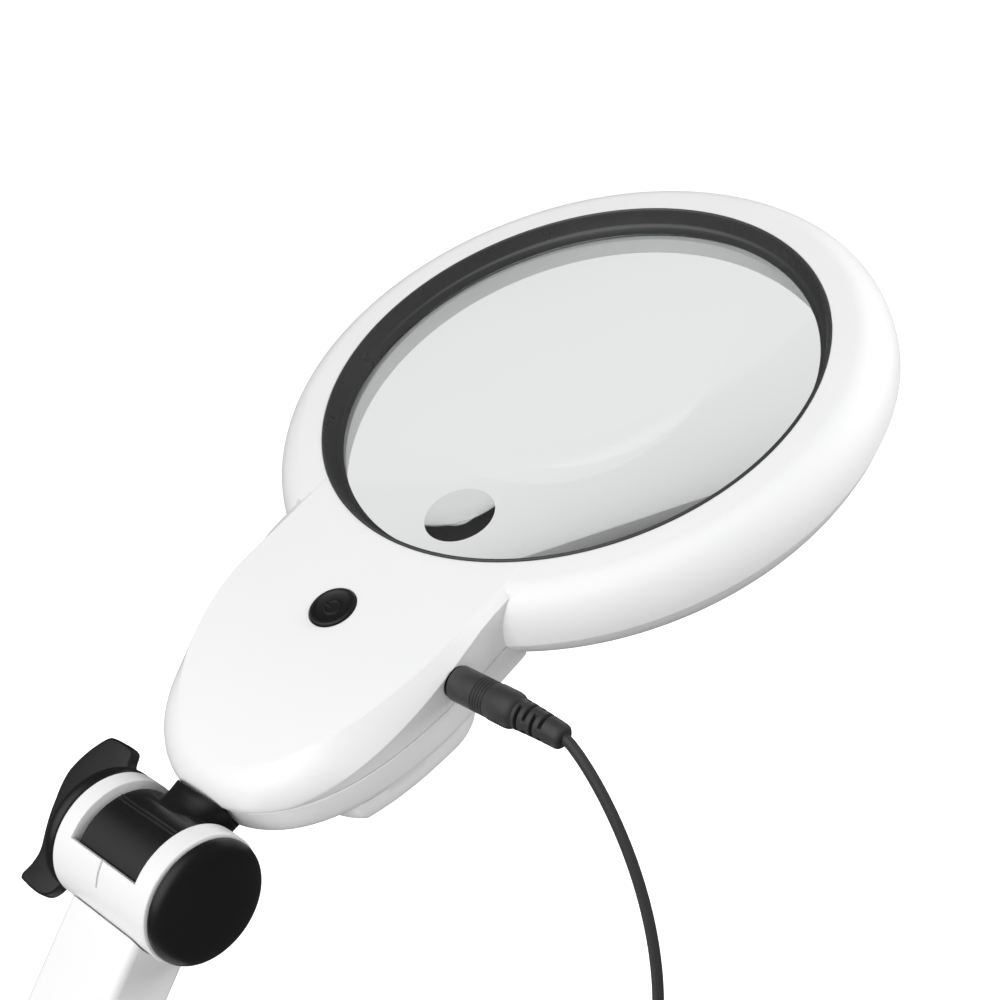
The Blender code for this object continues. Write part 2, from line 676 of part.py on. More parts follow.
def upper_shell_mesh():
    ring = revolve(ring_shoulder() + [(RING_RADIUS, -15.0 * MM), (0.0, -15.0 * MM)])
    shell = fuse(ring, upper_handle(0.0, 0.0, -16.0 * MM))
    bore = cylinder(OPENING_RADIUS, -0.05, 0.01, RING_STEPS)
    channel = revolve([(72.3 * MM, -0.05), (82.8 * MM, -0.05), (82.8 * MM, -10.0 * MM),
                       (77.5 * MM, -2.6 * MM), (72.3 * MM, -2.2 * MM)], closed=True)
    roof = [handle_loop(SHELL_WALL + 1.2 * MM, level(-0.05), CAVITY_START),
            handle_loop(SHELL_WALL + 1.2 * MM, lambda a: lip_height(a) - 1.6 * MM, CAVITY_START),
            handle_loop(SHELL_WALL + 3.6 * MM, lambda a: top_height(a) - 2.0 * MM, CAVITY_START)]
    shell = carve(shell, bore, channel, loft(roof, mirrored_caps=True))
    for along, side in SHELL_SCREWS:
        top = top_height(along) - 1.0 * MM
        boss = revolve([(2.5 * MM, -17.0 * MM), (2.5 * MM, top), (1.2 * MM, top - 1.5 * MM),
                        (1.2 * MM, -17.0 * MM)], SMALL_STEPS, closed=True)
        shell = fuse(shell, moved(boss, (-along, side, 0.0)))
    shell = carve(shell, block((-0.2, -0.1, -0.05), (0.1, 0.1, UPPER_SEAM)))
    button_hole = cylinder(BUTTON_RADIUS + GAP, -0.004, 0.01, 24, (-BUTTON_ALONG, 0.0))
    jack_hole = moved(along_y(cylinder(3.9 * MM, -0.05, -0.03, 20)), (-PLUG_ALONG, 0.0, PLUG_Z))
    return carve(shell, button_hole, jack_hole, neck_slot())


def neck_slot():
    """Opening in the handle's tip for the neck's tang."""
    return block((-0.16, -7.3 * MM, TANG_BOTTOM - GAP), (-0.1355, 7.3 * MM, TANG_TOP + GAP))


def led_angles():
    return [2.0 * math.pi * (i + 0.5) / LED_COUNT for i in range(LED_COUNT)]


def lower_shell_mesh():
    ring = revolve([
        (84.7 * MM, LOWER_SEAM + 2.0 * MM), (84.7 * MM, LOWER_SEAM), (84.1 * MM, -16.4 * MM),
        (82.5 * MM, -19.2 * MM), (80.4 * MM, RING_BOTTOM), (0.0, RING_BOTTOM)])
    handle = loft([handle_loop(0.8 * MM, level(LOWER_SEAM + 1.0 * MM)),
                   handle_loop(1.0 * MM, level(-19.5 * MM)),
                   handle_loop(3.0 * MM, level(HANDLE_BOTTOM))])
    belly = loft([handle_loop(2.4 * MM, level(HANDLE_BOTTOM + 1.0 * MM), BELLY_START, BELLY_END, 7),
                  handle_loop(2.8 * MM, level(BELLY_BOTTOM + 2.5 * MM), BELLY_START, BELLY_END, 7),
                  handle_loop(4.4 * MM, level(BELLY_BOTTOM), BELLY_START,
                              BELLY_END - 1.5 * MM, 7)])
    handle = carve(handle, cylinder(80.0 * MM, -0.05, RING_BOTTOM, RING_STEPS))
    shell = fuse(ring, handle, belly)
    shell = carve(shell,
                  cylinder(WINDOW_RADIUS, -0.05, 0.01, RING_STEPS),
                  block((-0.2, -0.1, LOWER_SEAM), (0.1, 0.1, 0.05)),
                  revolve([(67.9 * MM, 0.0), (82.3 * MM, 0.0), (82.3 * MM, -13.0 * MM),
                           (81.2 * MM, -17.6 * MM), (67.9 * MM, -17.6 * MM)], closed=True),
                  handle_cavity(HANDLE_BOTTOM + 1.7 * MM, 0.0),
                  revolve([(67.2 * MM, -0.05), (79.2 * MM, -0.05), (79.2 * MM, -19.3 * MM),
                           (67.2 * MM, -19.3 * MM)], closed=True))
    seat = revolve([(WINDOW_RADIUS, -11.1 * MM), (67.7 * MM, -11.1 * MM),
                    (67.7 * MM, -15.0 * MM), (WINDOW_RADIUS, -15.0 * MM)], closed=True)
    shell = fuse(shell, seat)
    for along, side in SHELL_SCREWS:
        boss = cylinder(2.9 * MM, HANDLE_BOTTOM + 1.0 * MM, LOWER_SEAM, centre=(-along, side))
        shell = fuse(shell, boss)
    for along, side in SHELL_SCREWS:
        spot = (-along, side)
        shell = carve(shell, cylinder(1.5 * MM, -0.05, 0.0, centre=spot),
                      cylinder(2.3 * MM, -0.05, screw_recess(along), centre=spot))
    battery_door = block((-126.5 * MM, -17.3 * MM, -0.05), (-84.5 * MM, 17.3 * MM, -20.0 * MM))
    shell = carve(shell, battery_door, cover_solid(4.6 * MM, -0.05, -27.0 * MM), neck_slot())
    for angle in led_angles():
        spot = (LED_CIRCLE * math.cos(angle), LED_CIRCLE * math.sin(angle))
        shell = carve(shell, cylinder(3.0 * MM, -0.05, 0.0, 8, spot))
    return shell


def cover_solid(inset, bottom, top):
    """Battery door's outline: the belly's outline drawn in."""
    start = BELLY_START + inset - 2.6 * MM
    end = BELLY_END - inset + 2.6 * MM
    return loft([handle_loop(inset + 2.0 * MM, level(z), start, end, 7) for z in (bottom, top)])


# ================================ lens and lights ================================

def sphere_height(radius, curve):
    """Drop of a spherical face at a radius, for a face that falls LENS_SAG at the rim."""
    return curve - math.sqrt(curve * curve - radius * radius)


def main_lens_mesh():
    curve = (LENS_RADIUS ** 2 + LENS_SAG ** 2) / (2.0 * LENS_SAG)
    steps = 5
    radii = [LENS_RADIUS * i / steps for i in range(steps + 1)]
    top = [(r, LENS_EDGE_TOP + LENS_SAG - sphere_height(r, curve)) for r in radii]
    bottom = [(r, LENS_EDGE_BOTTOM - LENS_SAG + sphere_height(r, curve)) for r in radii]
    lens = revolve(top + bottom[::-1], 44)
    seat = cylinder(INSET_RADIUS + GAP, -0.05, INSET_SEAT, 24, (-INSET_OFFSET, -INSET_SIDE))
    return carve(lens, seat)


def inset_lens_mesh():
    """Small strong lens bonded in its seat under the main lens: flat on top, domed below."""
    curve = (INSET_RADIUS ** 2 + INSET_SAG ** 2) / (2.0 * INSET_SAG)
    top = INSET_SEAT - GAP
    steps = 3
    radii = [INSET_RADIUS * i / steps for i in range(steps + 1)]
    dome = [(r, top - INSET_EDGE - INSET_SAG + sphere_height(r, curve)) for r in radii]
    return revolve(dome + [(INSET_RADIUS, top)], 20)


def bezel_mesh():
    return revolve([
        (BEZEL_RADIUS, -0.2 * MM), (BEZEL_RADIUS - 0.5 * MM, 0.4 * MM), (68.4 * MM, 0.4 * MM),
        (67.2 * MM, -3.9 * MM), (66.5 * MM, -4.2 * MM), (65.75 * MM, -6.2 * MM),
        (BEZEL_RADIUS, -6.6 * MM)], closed=True)


def led_board_mesh():
    board = revolve([(70.6 * MM, -15.4 * MM), (80.2 * MM, -15.4 * MM), (80.2 * MM, -14.4 * MM),
                     (70.6 * MM, -14.4 * MM)], 48, closed=True)
    half = 1.4 * MM
    for angle in led_angles():
        chip = block((LED_CIRCLE - half, -half, -16.8 * MM), (LED_CIRCLE + half, half, -15.0 * MM))
        chip.transform(Matrix.Rotation(angle, 4, 'Z'))
        board = fuse(board, chip)
    return board


# ================================ electrics in the handle ========================

def button_mesh():
    """Push button: raised rim, dished centre, flange and stem."""
    rim = BUTTON_RADIUS
    return revolve([
        (0.0, 0.1 * MM), (rim - 1.6 * MM, 0.1 * MM), (rim - 1.1 * MM, 0.6 * MM),
        (rim - 0.3 * MM, 0.6 * MM), (rim, 0.3 * MM), (rim, -2.6 * MM), (rim + 1.2 * MM, -2.6 * MM),
        (rim + 1.2 * MM, -3.4 * MM), (2.0 * MM, -3.4 * MM), (2.0 * MM, -4.6 * MM),
        (0.0, -4.6 * MM)], 20)


def tact_switch_mesh():
    body = block((-3.0 * MM, -3.0 * MM, BOARD_TOP + GAP), (3.0 * MM, 3.0 * MM, -6.6 * MM))
    return fuse(body, cylinder(1.6 * MM, -7.0 * MM, -6.1 * MM))


def jack_mesh():
    """Power socket lying along Y, mouth to -Y, its origin on the socket's axis."""
    box = block((-4.6 * MM, -33.2 * MM, -4.1 * MM), (4.6 * MM, -23.0 * MM, 4.1 * MM))
    nose = along_y(cylinder(3.6 * MM, -38.2 * MM, -32.0 * MM, 20))
    bore = along_y(cylinder(3.0 * MM, -0.05, -26.5 * MM, 20))
    return carve(fuse(box, nose), bore)


def contact_mesh():
    """Battery contact strip standing across the cells."""
    half = BATTERY_PITCH + 5.0 * MM
    return block((-0.3 * MM, -half, -4.4 * MM), (0.3 * MM, half, 4.4 * MM))


def spring_mesh():
    """Conical contact spring along X, from the strip (-X) to the cell."""
    turns = 2.5
    steps = 22
    wire = 0.35 * MM
    length = 2.6 * MM
    path = []
    for i in range(steps + 1):
        share = i / steps
        angle = 2.0 * math.pi * turns * share
        radius = (3.0 - 1.2 * share) * MM
        path.append(Vector((share * length, radius * math.cos(angle), radius * math.sin(angle))))
    loops = []
    for i, point in enumerate(path):
        tangent = (path[min(i + 1, steps)] - path[max(i - 1, 0)]).normalized()
        across = Vector((1.0, 0.0, 0.0))
        side = tangent.cross(across).normalized()
        up = side.cross(tangent)
        loops.append([point + wire * (math.cos(a) * side + math.sin(a) * up)
                      for a in (2.0 * math.pi * k / 4 for k in range(4))])
    return loft(loops)


def battery_mesh():
    """AAA cell along X, its positive button towards +X."""
    half = 0.5 * BATTERY_LENGTH
    return along_x(revolve([
        (0.0, -half), (4.6 * MM, -half), (BATTERY_RADIUS, -half + 0.5 * MM),
        (BATTERY_RADIUS, half - 1.6 * MM), (4.6 * MM, half - 1.0 * MM), (1.9 * MM, half - 1.0 * MM),
        (1.9 * MM, half), (0.0, half)], 20))


def head_neck_mesh():
    """Knuckle of the upper hinge, waisted neck and tang; the origin is on the hinge axis."""
    flange = HINGE_TO_LENS - HANDLE_TIP - GAP
    sections = [(5.0 * MM, 10.4 * MM, 11.5 * MM, 0.0), (10.0 * MM, 9.4 * MM, 8.8 * MM, 0.5 * MM),
                (13.4 * MM, 8.8 * MM, 7.2 * MM, 1.2 * MM),
                (flange - 1.2 * MM, 10.2 * MM, 7.6 * MM, 1.8 * MM),
                (flange, 10.6 * MM, 7.8 * MM, 1.9 * MM)]
    loops = []
    for x, half_y, half_z, lift in sections:
        ring = rounded_rectangle(2 * half_z, 2 * half_y, 0.8 * half_z, 4)
        loops.append([Vector((x, p.y, p.x + lift)) for p in ring])
    tang = block((flange - 1.0 * MM, -7.0 * MM, HINGE_DROP + TANG_BOTTOM),
                 (27.3 * MM, 7.0 * MM, HINGE_DROP + TANG_TOP))
    return carve(fuse(knuckle_mesh(), loft(loops), tang), knuckle_bore())


def build_head(arm, looks):
    """Everything on the head; the pieces share the lens-centred coordinates of lens_spot."""
    tilt_on_arm = HEAD_TILT + ARM_LEAN
    head = frame_empty("head_pivot", (0.0, 0.0, ARM_LENGTH), tilt_on_arm, arm)
    lens_spot = Vector((HINGE_TO_LENS, 0.0, HINGE_DROP))

    def on_head(name, mesh, look, spot=(0.0, 0.0, 0.0)):
        return add(name, mesh, looks[look], head, lens_spot + Vector(spot))

    on_head("head_upper_shell", upper_shell_mesh(), "white")
    on_head("head_lower_shell", lower_shell_mesh(), "white")
    on_head("lens_bezel", bezel_mesh(), "black")
    on_head("main_lens", main_lens_mesh(), "clear")
    on_head("inset_lens", inset_lens_mesh(), "clear", (-INSET_OFFSET, -INSET_SIDE, 0.0))
    on_head("led_board", led_board_mesh(), "board_white")
    on_head("led_diffuser", revolve([
        (67.5 * MM, RING_BOTTOM), (78.9 * MM, RING_BOTTOM), (78.9 * MM, -19.6 * MM),
        (67.5 * MM, -19.6 * MM)], 48, closed=True), "frosted")
    on_head("control_board", block((-10.0 * MM, -16.0 * MM, BOARD_BOTTOM),
                                   (10.0 * MM, 16.0 * MM, BOARD_TOP)), "board",
            (-BUTTON_ALONG, 0.0, 0.0))
    on_head("tact_switch", tact_switch_mesh(), "black", (-BUTTON_ALONG, 0.0, 0.0))
    on_head("dc_jack", jack_mesh(), "black", (-PLUG_ALONG, 0.0, PLUG_Z))
    middle = BATTERY_START + 0.5 * BATTERY_LENGTH
    cell_end = BATTERY_START + BATTERY_LENGTH
    cell = None
    for number, row in enumerate((-1, 0, 1), 1):
        side = row * BATTERY_PITCH
        if cell is None:
            cell = on_head("battery_1", battery_mesh(), "cell", (-middle, side, BATTERY_Z))
            spring = on_head("battery_spring_1", spring_mesh(), "steel",
                             (-cell_end - 3.3 * MM, side, BATTERY_Z))
            continue
        place(f"battery_{number}", cell.data, head, lens_spot + Vector((-middle, side, BATTERY_Z)))
        place(f"battery_spring_{number}", spring.data, head,
              lens_spot + Vector((-cell_end - 3.3 * MM, side, BATTERY_Z)))
    on_head("battery_contact_front", contact_mesh(), "steel",
            (-BATTERY_START + 0.8 * MM, 0.0, BATTERY_Z))
    on_head("battery_contact_rear", contact_mesh(), "steel",
            (-cell_end - 4.4 * MM, 0.0, BATTERY_Z))
    first = None
    for number, (along, side) in enumerate(SHELL_SCREWS, 1):
        spot = (-along, side, screw_recess(along) - 1.7 * MM)
        if first is None:
            shape = screw_mesh(1.0 * MM, 2.0 * MM, 1.4 * MM, 12.0 * MM)
            first = on_head("head_screw_1", shape, "steel", spot)
        else:
            place(f"head_screw_{number}", first.data, head, lens_spot + Vector(spot))
    add("head_neck", head_neck_mesh(), looks["black"], head)
    build_button(head, lens_spot, looks)
    build_battery_door(head, lens_spot, looks)
    build_lead(head, lens_spot, looks)


def build_button(head, lens_spot, looks):
    frame = frame_empty("button_frame", lens_spot + Vector((-BUTTON_ALONG, 0.0, 0.0)), 0.0, head)
    add("power_button", button_mesh(), looks["black"], frame)


def build_battery_door(head, lens_spot, looks):
    frame = frame_empty("battery_door_frame", lens_spot + Vector((0.0, 0.0, BELLY_BOTTOM)),
                        0.0, head)
    door = cover_solid(5.0 * MM, 0.0, 1.7 * MM)
    notch = block((-0.131, -5.0 * MM, -1.0 * MM), (-0.121, 5.0 * MM, 0.7 * MM))
    add("battery_cover", carve(door, notch), looks["white"], frame)


# ================================ power lead =====================================

def lead_curve(steps):
    """Hanging curve of the lead in its own YZ plane, from the relief's end to the vertical."""
    start = Vector((0.0, -33.3, -0.6)) * MM
    leave = Vector((0.0, -37.0, -0.95)) * MM
    approach = Vector((0.0, -62.8, -22.0)) * MM
    end = Vector((0.0, -62.6, -62.0)) * MM
    points = []
    for i in range(steps + 1):
        t = i / steps
        s = 1.0 - t
        points.append(s ** 3 * start + 3 * s * s * t * leave + 3 * s * t * t * approach
                      + t ** 3 * end)
    return points


def grip_mesh():
    """Straight grip of the power plug along -Y, with three grooves."""
    groove = 0.35 * MM
    start = GAP
    profile = [(0.0, start), (PLUG_RADIUS - 0.4 * MM, start), (PLUG_RADIUS, start + 0.4 * MM)]
    for i in range(3):
        edge = start + (8.4 + 1.9 * i) * MM
        profile += [(PLUG_RADIUS, edge), (PLUG_RADIUS - groove, edge + 0.3 * MM),
                    (PLUG_RADIUS - groove, edge + 0.9 * MM), (PLUG_RADIUS, edge + 1.2 * MM)]
    profile += [(PLUG_RADIUS, PLUG_LENGTH - 0.8 * MM), (PLUG_RADIUS - 0.8 * MM, PLUG_LENGTH),
                (0.0, PLUG_LENGTH)]
    grip = revolve(profile, 20)
    grip.transform(Matrix.Rotation(math.radians(90.0), 4, 'X'))
    hole = cylinder(2.75 * MM + GAP, -0.01, 4.0 * MM, 20)
    hole.transform(Matrix.Rotation(math.radians(90.0), 4, 'X'))
    return carve(outward(grip), outward(hole))


def relief_mesh():
    """Tapering strain relief that starts the lead's bend."""
    steps = 8
    start = Vector((0.0, -PLUG_LENGTH - GAP, 0.0))
    end = lead_curve(1)[0]
    drop = end.z - start.z
    path = [Vector((0.0, start.y + (end.y - start.y) * i / steps, drop * (i / steps) ** 2))
            for i in range(steps + 1)]
    radii = [(3.7 - 1.3 * i / steps) * MM for i in range(steps + 1)]
    return tube_along(path, radii, 16)


def lead_mesh():
    curve = lead_curve(12)
    curve[0] = curve[0] + 2.0 * GAP * (curve[1] - curve[0]).normalized()
    foot = curve[-1]
    curve.append(Vector((0.0, foot.y, -LEAD_DROP)))
    return tube_along(curve, [LEAD_RADIUS] * len(curve), 10)


def usb_grip_mesh():
    """Moulded grip of the connector at the lead's end; z = 0 is its top."""
    shapes = [(4.2, 4.2, 0.0), (5.0, 6.0, -7.0), (8.0, 15.6, -12.0), (8.0, 15.6, -31.0)]
    loops = []
    for depth, width, z in shapes:
        outline = rounded_rectangle(depth * MM, width * MM, 0.45 * depth * MM)
        loops.append([p + Vector((0.0, 0.0, z * MM)) for p in outline])
    return loft(loops)


def usb_shell_mesh():
    """Open metal sleeve of the connector."""
    outer = rounded_rectangle(4.5 * MM, 12.0 * MM, 0.6 * MM, 2)
    inner = rounded_rectangle(3.7 * MM, 11.2 * MM, 0.4 * MM, 2)
    shell = prism(outer, -43.0 * MM, -31.0 * MM - GAP)
    return carve(shell, prism(inner, -44.0 * MM, -32.0 * MM - GAP))


def build_lead(head, lens_spot, looks):
    """Plug contact, grip and lead: three frames on one axis, parallel to the hinges."""
    mouth = lens_spot + Vector((-PLUG_ALONG, -PLUG_SIDE, PLUG_Z))
    contact_frame = frame_empty("plug_contact_frame", mouth, 0.0, head)
    grip_frame = frame_empty("plug_grip_frame", (0.0, 0.0, 0.0), 0.0, contact_frame)
    lead_frame = frame_empty("lead_frame", (0.0, 0.0, 0.0), -HEAD_TILT, grip_frame)
    pin = revolve([(1.2 * MM, -3.7 * MM), (2.75 * MM, -3.7 * MM), (2.75 * MM, 9.5 * MM),
                   (1.2 * MM, 9.5 * MM)], 20, closed=True)
    add("plug_contact", along_y(pin), looks["steel"], contact_frame)
    add("plug_grip", grip_mesh(), looks["rubber"], grip_frame)
    add("strain_relief", relief_mesh(), looks["rubber"], lead_frame)
    add("power_lead", lead_mesh(), looks["rubber"], lead_frame)
    end = lead_curve(1)[-1]
    connector = (0.0, end.y, -LEAD_DROP - GAP)
    add("usb_plug_grip", usb_grip_mesh(), looks["rubber"], lead_frame, connector)
    add("usb_plug_shell", usb_shell_mesh(), looks["steel"], lead_frame, connector)


# ================================ assembly =======================================

def make_looks():
    return {
        "white": material("white_plastic", (0.86, 0.86, 0.87), 0.28),
        "black": material("black_plastic", (0.018, 0.018, 0.02), 0.38),
        "rubber": material("black_rubber", (0.012, 0.012, 0.013), 0.5),
        "clear": material("clear_lens", (0.97, 0.98, 0.98), 0.02, transmission=1.0),
        "frosted": material("frosted_plastic", (0.93, 0.93, 0.9), 0.5, transmission=0.4),
        "steel": material("plated_steel", (0.62, 0.63, 0.65), 0.25, metallic=1.0),
        "iron": material("cast_iron", (0.16, 0.16, 0.17), 0.6, metallic=1.0),
        "foam": material("grip_foam", (0.05, 0.05, 0.055), 0.9),
        "fibre": material("fibre_washer", (0.33, 0.12, 0.07), 0.7),
        "board": material("circuit_board", (0.03, 0.18, 0.07), 0.45),
        "board_white": material("light_board", (0.8, 0.8, 0.78), 0.5),
        "cell": material("battery_sleeve", (0.1, 0.22, 0.42), 0.35),
    }


def main():
    empty_scene()
    looks = make_looks()
    root = build_base(looks)
    arm = build_arm(root, looks)
    build_head(arm, looks)


main()
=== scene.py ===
"""Studio scene for the desk magnifying lamp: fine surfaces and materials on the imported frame.

All lengths are in metres. Three local frames are used, each fixed to a body at rest:
  head frame   origin on the lens axis at the head's top face, +X away from the hinge,
               +Z up out of the lens
  hinge frame  origin on a hinge's axis, +Y along the axis towards the wing knob
  lead frame   origin where the plug meets the handle, -Y out along the plug, +Z up
"""

import json
import math

import bmesh
import bpy
from mathutils import Matrix, Vector


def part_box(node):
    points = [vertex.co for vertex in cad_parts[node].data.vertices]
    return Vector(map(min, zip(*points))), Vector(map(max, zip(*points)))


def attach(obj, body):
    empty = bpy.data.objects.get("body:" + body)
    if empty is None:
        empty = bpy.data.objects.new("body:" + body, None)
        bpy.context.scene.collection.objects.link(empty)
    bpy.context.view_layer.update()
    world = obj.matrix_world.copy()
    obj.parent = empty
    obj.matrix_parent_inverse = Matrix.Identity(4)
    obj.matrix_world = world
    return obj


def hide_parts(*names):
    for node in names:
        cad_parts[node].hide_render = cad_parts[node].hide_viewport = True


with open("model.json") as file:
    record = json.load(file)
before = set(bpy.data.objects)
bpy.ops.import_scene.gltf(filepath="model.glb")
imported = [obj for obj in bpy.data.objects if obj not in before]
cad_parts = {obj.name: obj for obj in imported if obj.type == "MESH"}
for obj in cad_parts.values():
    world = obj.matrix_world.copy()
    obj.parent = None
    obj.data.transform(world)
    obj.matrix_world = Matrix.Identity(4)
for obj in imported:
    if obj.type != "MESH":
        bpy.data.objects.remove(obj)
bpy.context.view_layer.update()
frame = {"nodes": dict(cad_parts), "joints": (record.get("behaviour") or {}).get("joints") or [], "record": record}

MM = 0.001
GAP = 0.3 * MM

# ---- head: same driving dimensions as the CAD part ---------------------------------
LENS_MIDDLE = -8.65 * MM            # middle plane of the main lens
RING_FLAT_RADIUS = 75.5 * MM
RING_RADIUS = 85.0 * MM
RING_WIDEST = -12.0 * MM
OPENING_RADIUS = 69.8 * MM
SEAM = -13.5 * MM
RING_BOTTOM = -21.0 * MM
WINDOW_RADIUS = 65.6 * MM
BEZEL_RADIUS = 69.65 * MM
LENS_RADIUS = 69.5 * MM
LENS_SAG = 6.3 * MM
LENS_EDGE = 1.28 * MM               # half of the lens's edge thickness
INSET_RADIUS = 9.5 * MM
INSET_OFFSET = 49.0 * MM            # from the lens axis towards the handle
INSET_BOND = 0.02 * MM
INSET_SAG = 1.5 * MM                # extra thickness in the middle of the small lens
LED_COUNT = 10
LED_CIRCLE = 74.7 * MM
HANDLE_START = 58.0 * MM
HANDLE_SHOULDER = 85.0 * MM
HANDLE_TIP = 146.5 * MM
HANDLE_HALF = 38.6 * MM
HANDLE_POWER = 2.5
HANDLE_ROOT = 0.4545
HANDLE_BOTTOM = -23.3 * MM
BELLY_BOTTOM = -29.0 * MM
BELLY_MIDDLE = 105.0 * MM
BELLY_HALF_LENGTH = 24.8 * MM
BELLY_HALF_WIDTH = 36.2 * MM
BELLY_POWER = 3.5
COVER_INSET = 3.6 * MM              # battery cover's edge inside the belly's outline
CAVITY_START = 83.0 * MM
TANG_BOTTOM = -21.5 * MM            # tang of the neck inside the handle's tip
TANG_TOP = -12.6 * MM
SLOPE_START = 95.0 * MM             # where the handle's top starts to fall
SLOPE_DROP = 6.5 * MM
BUTTON_ALONG = 93.2 * MM
BUTTON_RADIUS = 6.0 * MM
PLUG_ALONG = 92.3 * MM
PLUG_Z = -8.0 * MM
PLUG_LENGTH = 19.8 * MM
PLUG_RADIUS = 4.5 * MM
LEAD_RADIUS = 1.4 * MM
LEAD_DROP = 108.0 * MM

# ---- hinges and arm -------------------------------------------------------------------
BARREL_RADIUS = 16.0 * MM
BARREL_HALF = 18.0 * MM
WINDOW_HALF = 12.5 * MM
WINDOW_ANGLE = math.radians(92.0)
KNUCKLE_RADIUS = 14.6 * MM
KNUCKLE_HALF = 11.2 * MM
POCKET_RADIUS = 15.0 * MM
KNOB_ANGLE = math.radians(43.0)     # wing of each knob above the horizontal
STUD_BORE = 2.8 * MM
NUT_RADIUS = 4.9 * MM
ARM_WIDTH = 26.0 * MM
ARM_DEPTH = 18.0 * MM
ARM_WALL = 1.8 * MM
SPIGOT_LENGTH = 34.0 * MM

# ---- base --------------------------------------------------------------------------------
BASE_LENGTH = 190.0 * MM
BASE_WIDTH = 150.0 * MM
BASE_POWER = 2.5
BASE_TOP = 22.5 * MM
PAD_TOP = 1.2 * MM

# ---- fineness ------------------------------------------------------------------------------
RING_STEPS = 192
HINGE_STEPS = 96
SMALL_STEPS = 48
SMOOTH_ANGLE = math.radians(32.0)
RIGHT_ANGLE = math.radians(90.0)
QUARTER = 0.5 * math.pi
BELOW = -0.05                       # where cutters through the head start
ABOVE = 0.01                        # and end
BESIDE = 0.03                       # half length of cutters across a hinge
WELD = 1e-6                         # points closer than this are one point

# ---- studio ----------------------------------------------------------------------------------
WORLD_SEEN = 1.05
WORLD_DIFFUSE = 0.63
WORLD_GLOSSY_LOW = 0.04             # surroundings in a gloss, away from the bright side
WORLD_GLOSSY_HIGH = 2.0             # and straight towards it
WORLD_IN_LENS = 0.42                # surroundings thrown back inside the lens
BRIGHT_SIDE = (-0.77, 0.1, 0.63)
RIGHT_POWER = 4.6
LEFT_POWER = 12.6
FLOOR_GLOW = 0.5                    # lifts the floor to white as the camera sees it
FLOOR_THROUGH_LENS = 0.9
FLOOR_BOUNCE = 0.41                 # how much of its light the floor gives back to the lamp
FLOOR_MIRRORED = 0.06               # and how bright it is in the gloss of the plastic


# ================================ frames ==========================================

joints = {joint["name"]: joint for joint in frame["joints"]}
UPPER = Vector(joints["head_tilt"]["pos_m"])
LOWER = Vector(joints["arm_tilt"]["pos_m"])
PLUG_POINT = Vector(joints["lead_swivel"]["pos_m"])
SIDE = Vector((0.0, 1.0, 0.0))


def axes_frame(x_axis, z_axis, origin):
    """Matrix of a frame with Y along the hinges."""
    rotation = Matrix((x_axis, SIDE, z_axis)).transposed().to_4x4()
    return Matrix.Translation(origin) @ rotation


head_up = -Vector(joints["button_press"]["axis"]).normalized()
head_along = SIDE.cross(head_up)
low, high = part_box("main_lens")
lens_origin = 0.5 * (low + high) - LENS_MIDDLE * head_up
lens_origin.y = 0.0
HEAD = axes_frame(head_along, head_up, lens_origin)
NECK = axes_frame(head_along, head_up, UPPER)
HINGE_TO_LENS = (lens_origin - UPPER).dot(head_along)

arm_up = (UPPER - LOWER).normalized()
arm_across = SIDE.cross(arm_up)
ARM_LENGTH = (UPPER - LOWER).length
UPPER_HINGE = axes_frame(arm_across, arm_up, UPPER)
LOWER_HINGE = axes_frame(-arm_across, -arm_up, LOWER)
ARM = axes_frame(arm_across, arm_up, LOWER)
BASE_NECK = Matrix.Translation(LOWER)
LEAD = Matrix.Translation(PLUG_POINT)
PLUG = axes_frame(head_along, head_up, PLUG_POINT)


# ================================ mesh helpers =====================================

def mm(points):
    """Points given in millimetres."""
    return [tuple(value * MM for value in point) for point in points]


def add_face(mesh, corners):
    """Face over corners of which some may be the same vertex."""
    unique = list(dict.fromkeys(corners))
    if len(unique) > 2:
        mesh.faces.new(unique)


def join_loops(mesh, first, second):
    """Skin two loops of vertices; a loop of one vertex makes a fan."""
    count = max(len(first), len(second))
    for i in range(count):
        j = (i + 1) % count
        add_face(mesh, [first[i % len(first)], first[j % len(first)],
                        second[j % len(second)], second[i % len(second)]])


def outward(mesh):
    """Point every face away from the solid."""
    bmesh.ops.recalc_face_normals(mesh, faces=mesh.faces)
    return mesh


def revolve(profile, steps=RING_STEPS, closed=False):
    """Turn (radius, height) points about Z. A closed profile makes a ring."""
    mesh = bmesh.new()
    rings = []
    for radius, height in profile:
        if radius < 1e-7:
            rings.append([mesh.verts.new((0.0, 0.0, height))])
            continue
        turns = [2.0 * math.pi * i / steps for i in range(steps)]
        rings.append([mesh.verts.new((radius * math.cos(a), radius * math.sin(a), height))
                      for a in turns])
    for lower, upper in zip(rings, rings[1:]):
        join_loops(mesh, lower, upper)
    if closed:
        join_loops(mesh, rings[-1], rings[0])
    else:
        for ring in (rings[0], rings[-1]):
            if len(ring) > 1:
                mesh.faces.new(ring)
    return outward(mesh)


def loft(loops, mirrored_caps=False):
    """Skin loops of points. Mirrored caps join each point to its mirror image on the loop."""
    mesh = bmesh.new()
    rings = [[mesh.verts.new(p) for p in loop] for loop in loops]
    for lower, upper in zip(rings, rings[1:]):
        join_loops(mesh, lower, upper)
    for ring in (rings[0], rings[-1]):
        if not mirrored_caps:
            mesh.faces.new(ring)
            continue
        last = len(ring) - 1
        for i in range(len(ring) // 2):
            add_face(mesh, [ring[i], ring[i + 1], ring[last - i - 1], ring[last - i]])
    return outward(mesh)


def prism(outline, bottom, top):
    """Straight solid over a flat outline."""
    return loft([[Vector((p[0], p[1], z)) for p in outline] for z in (bottom, top)])


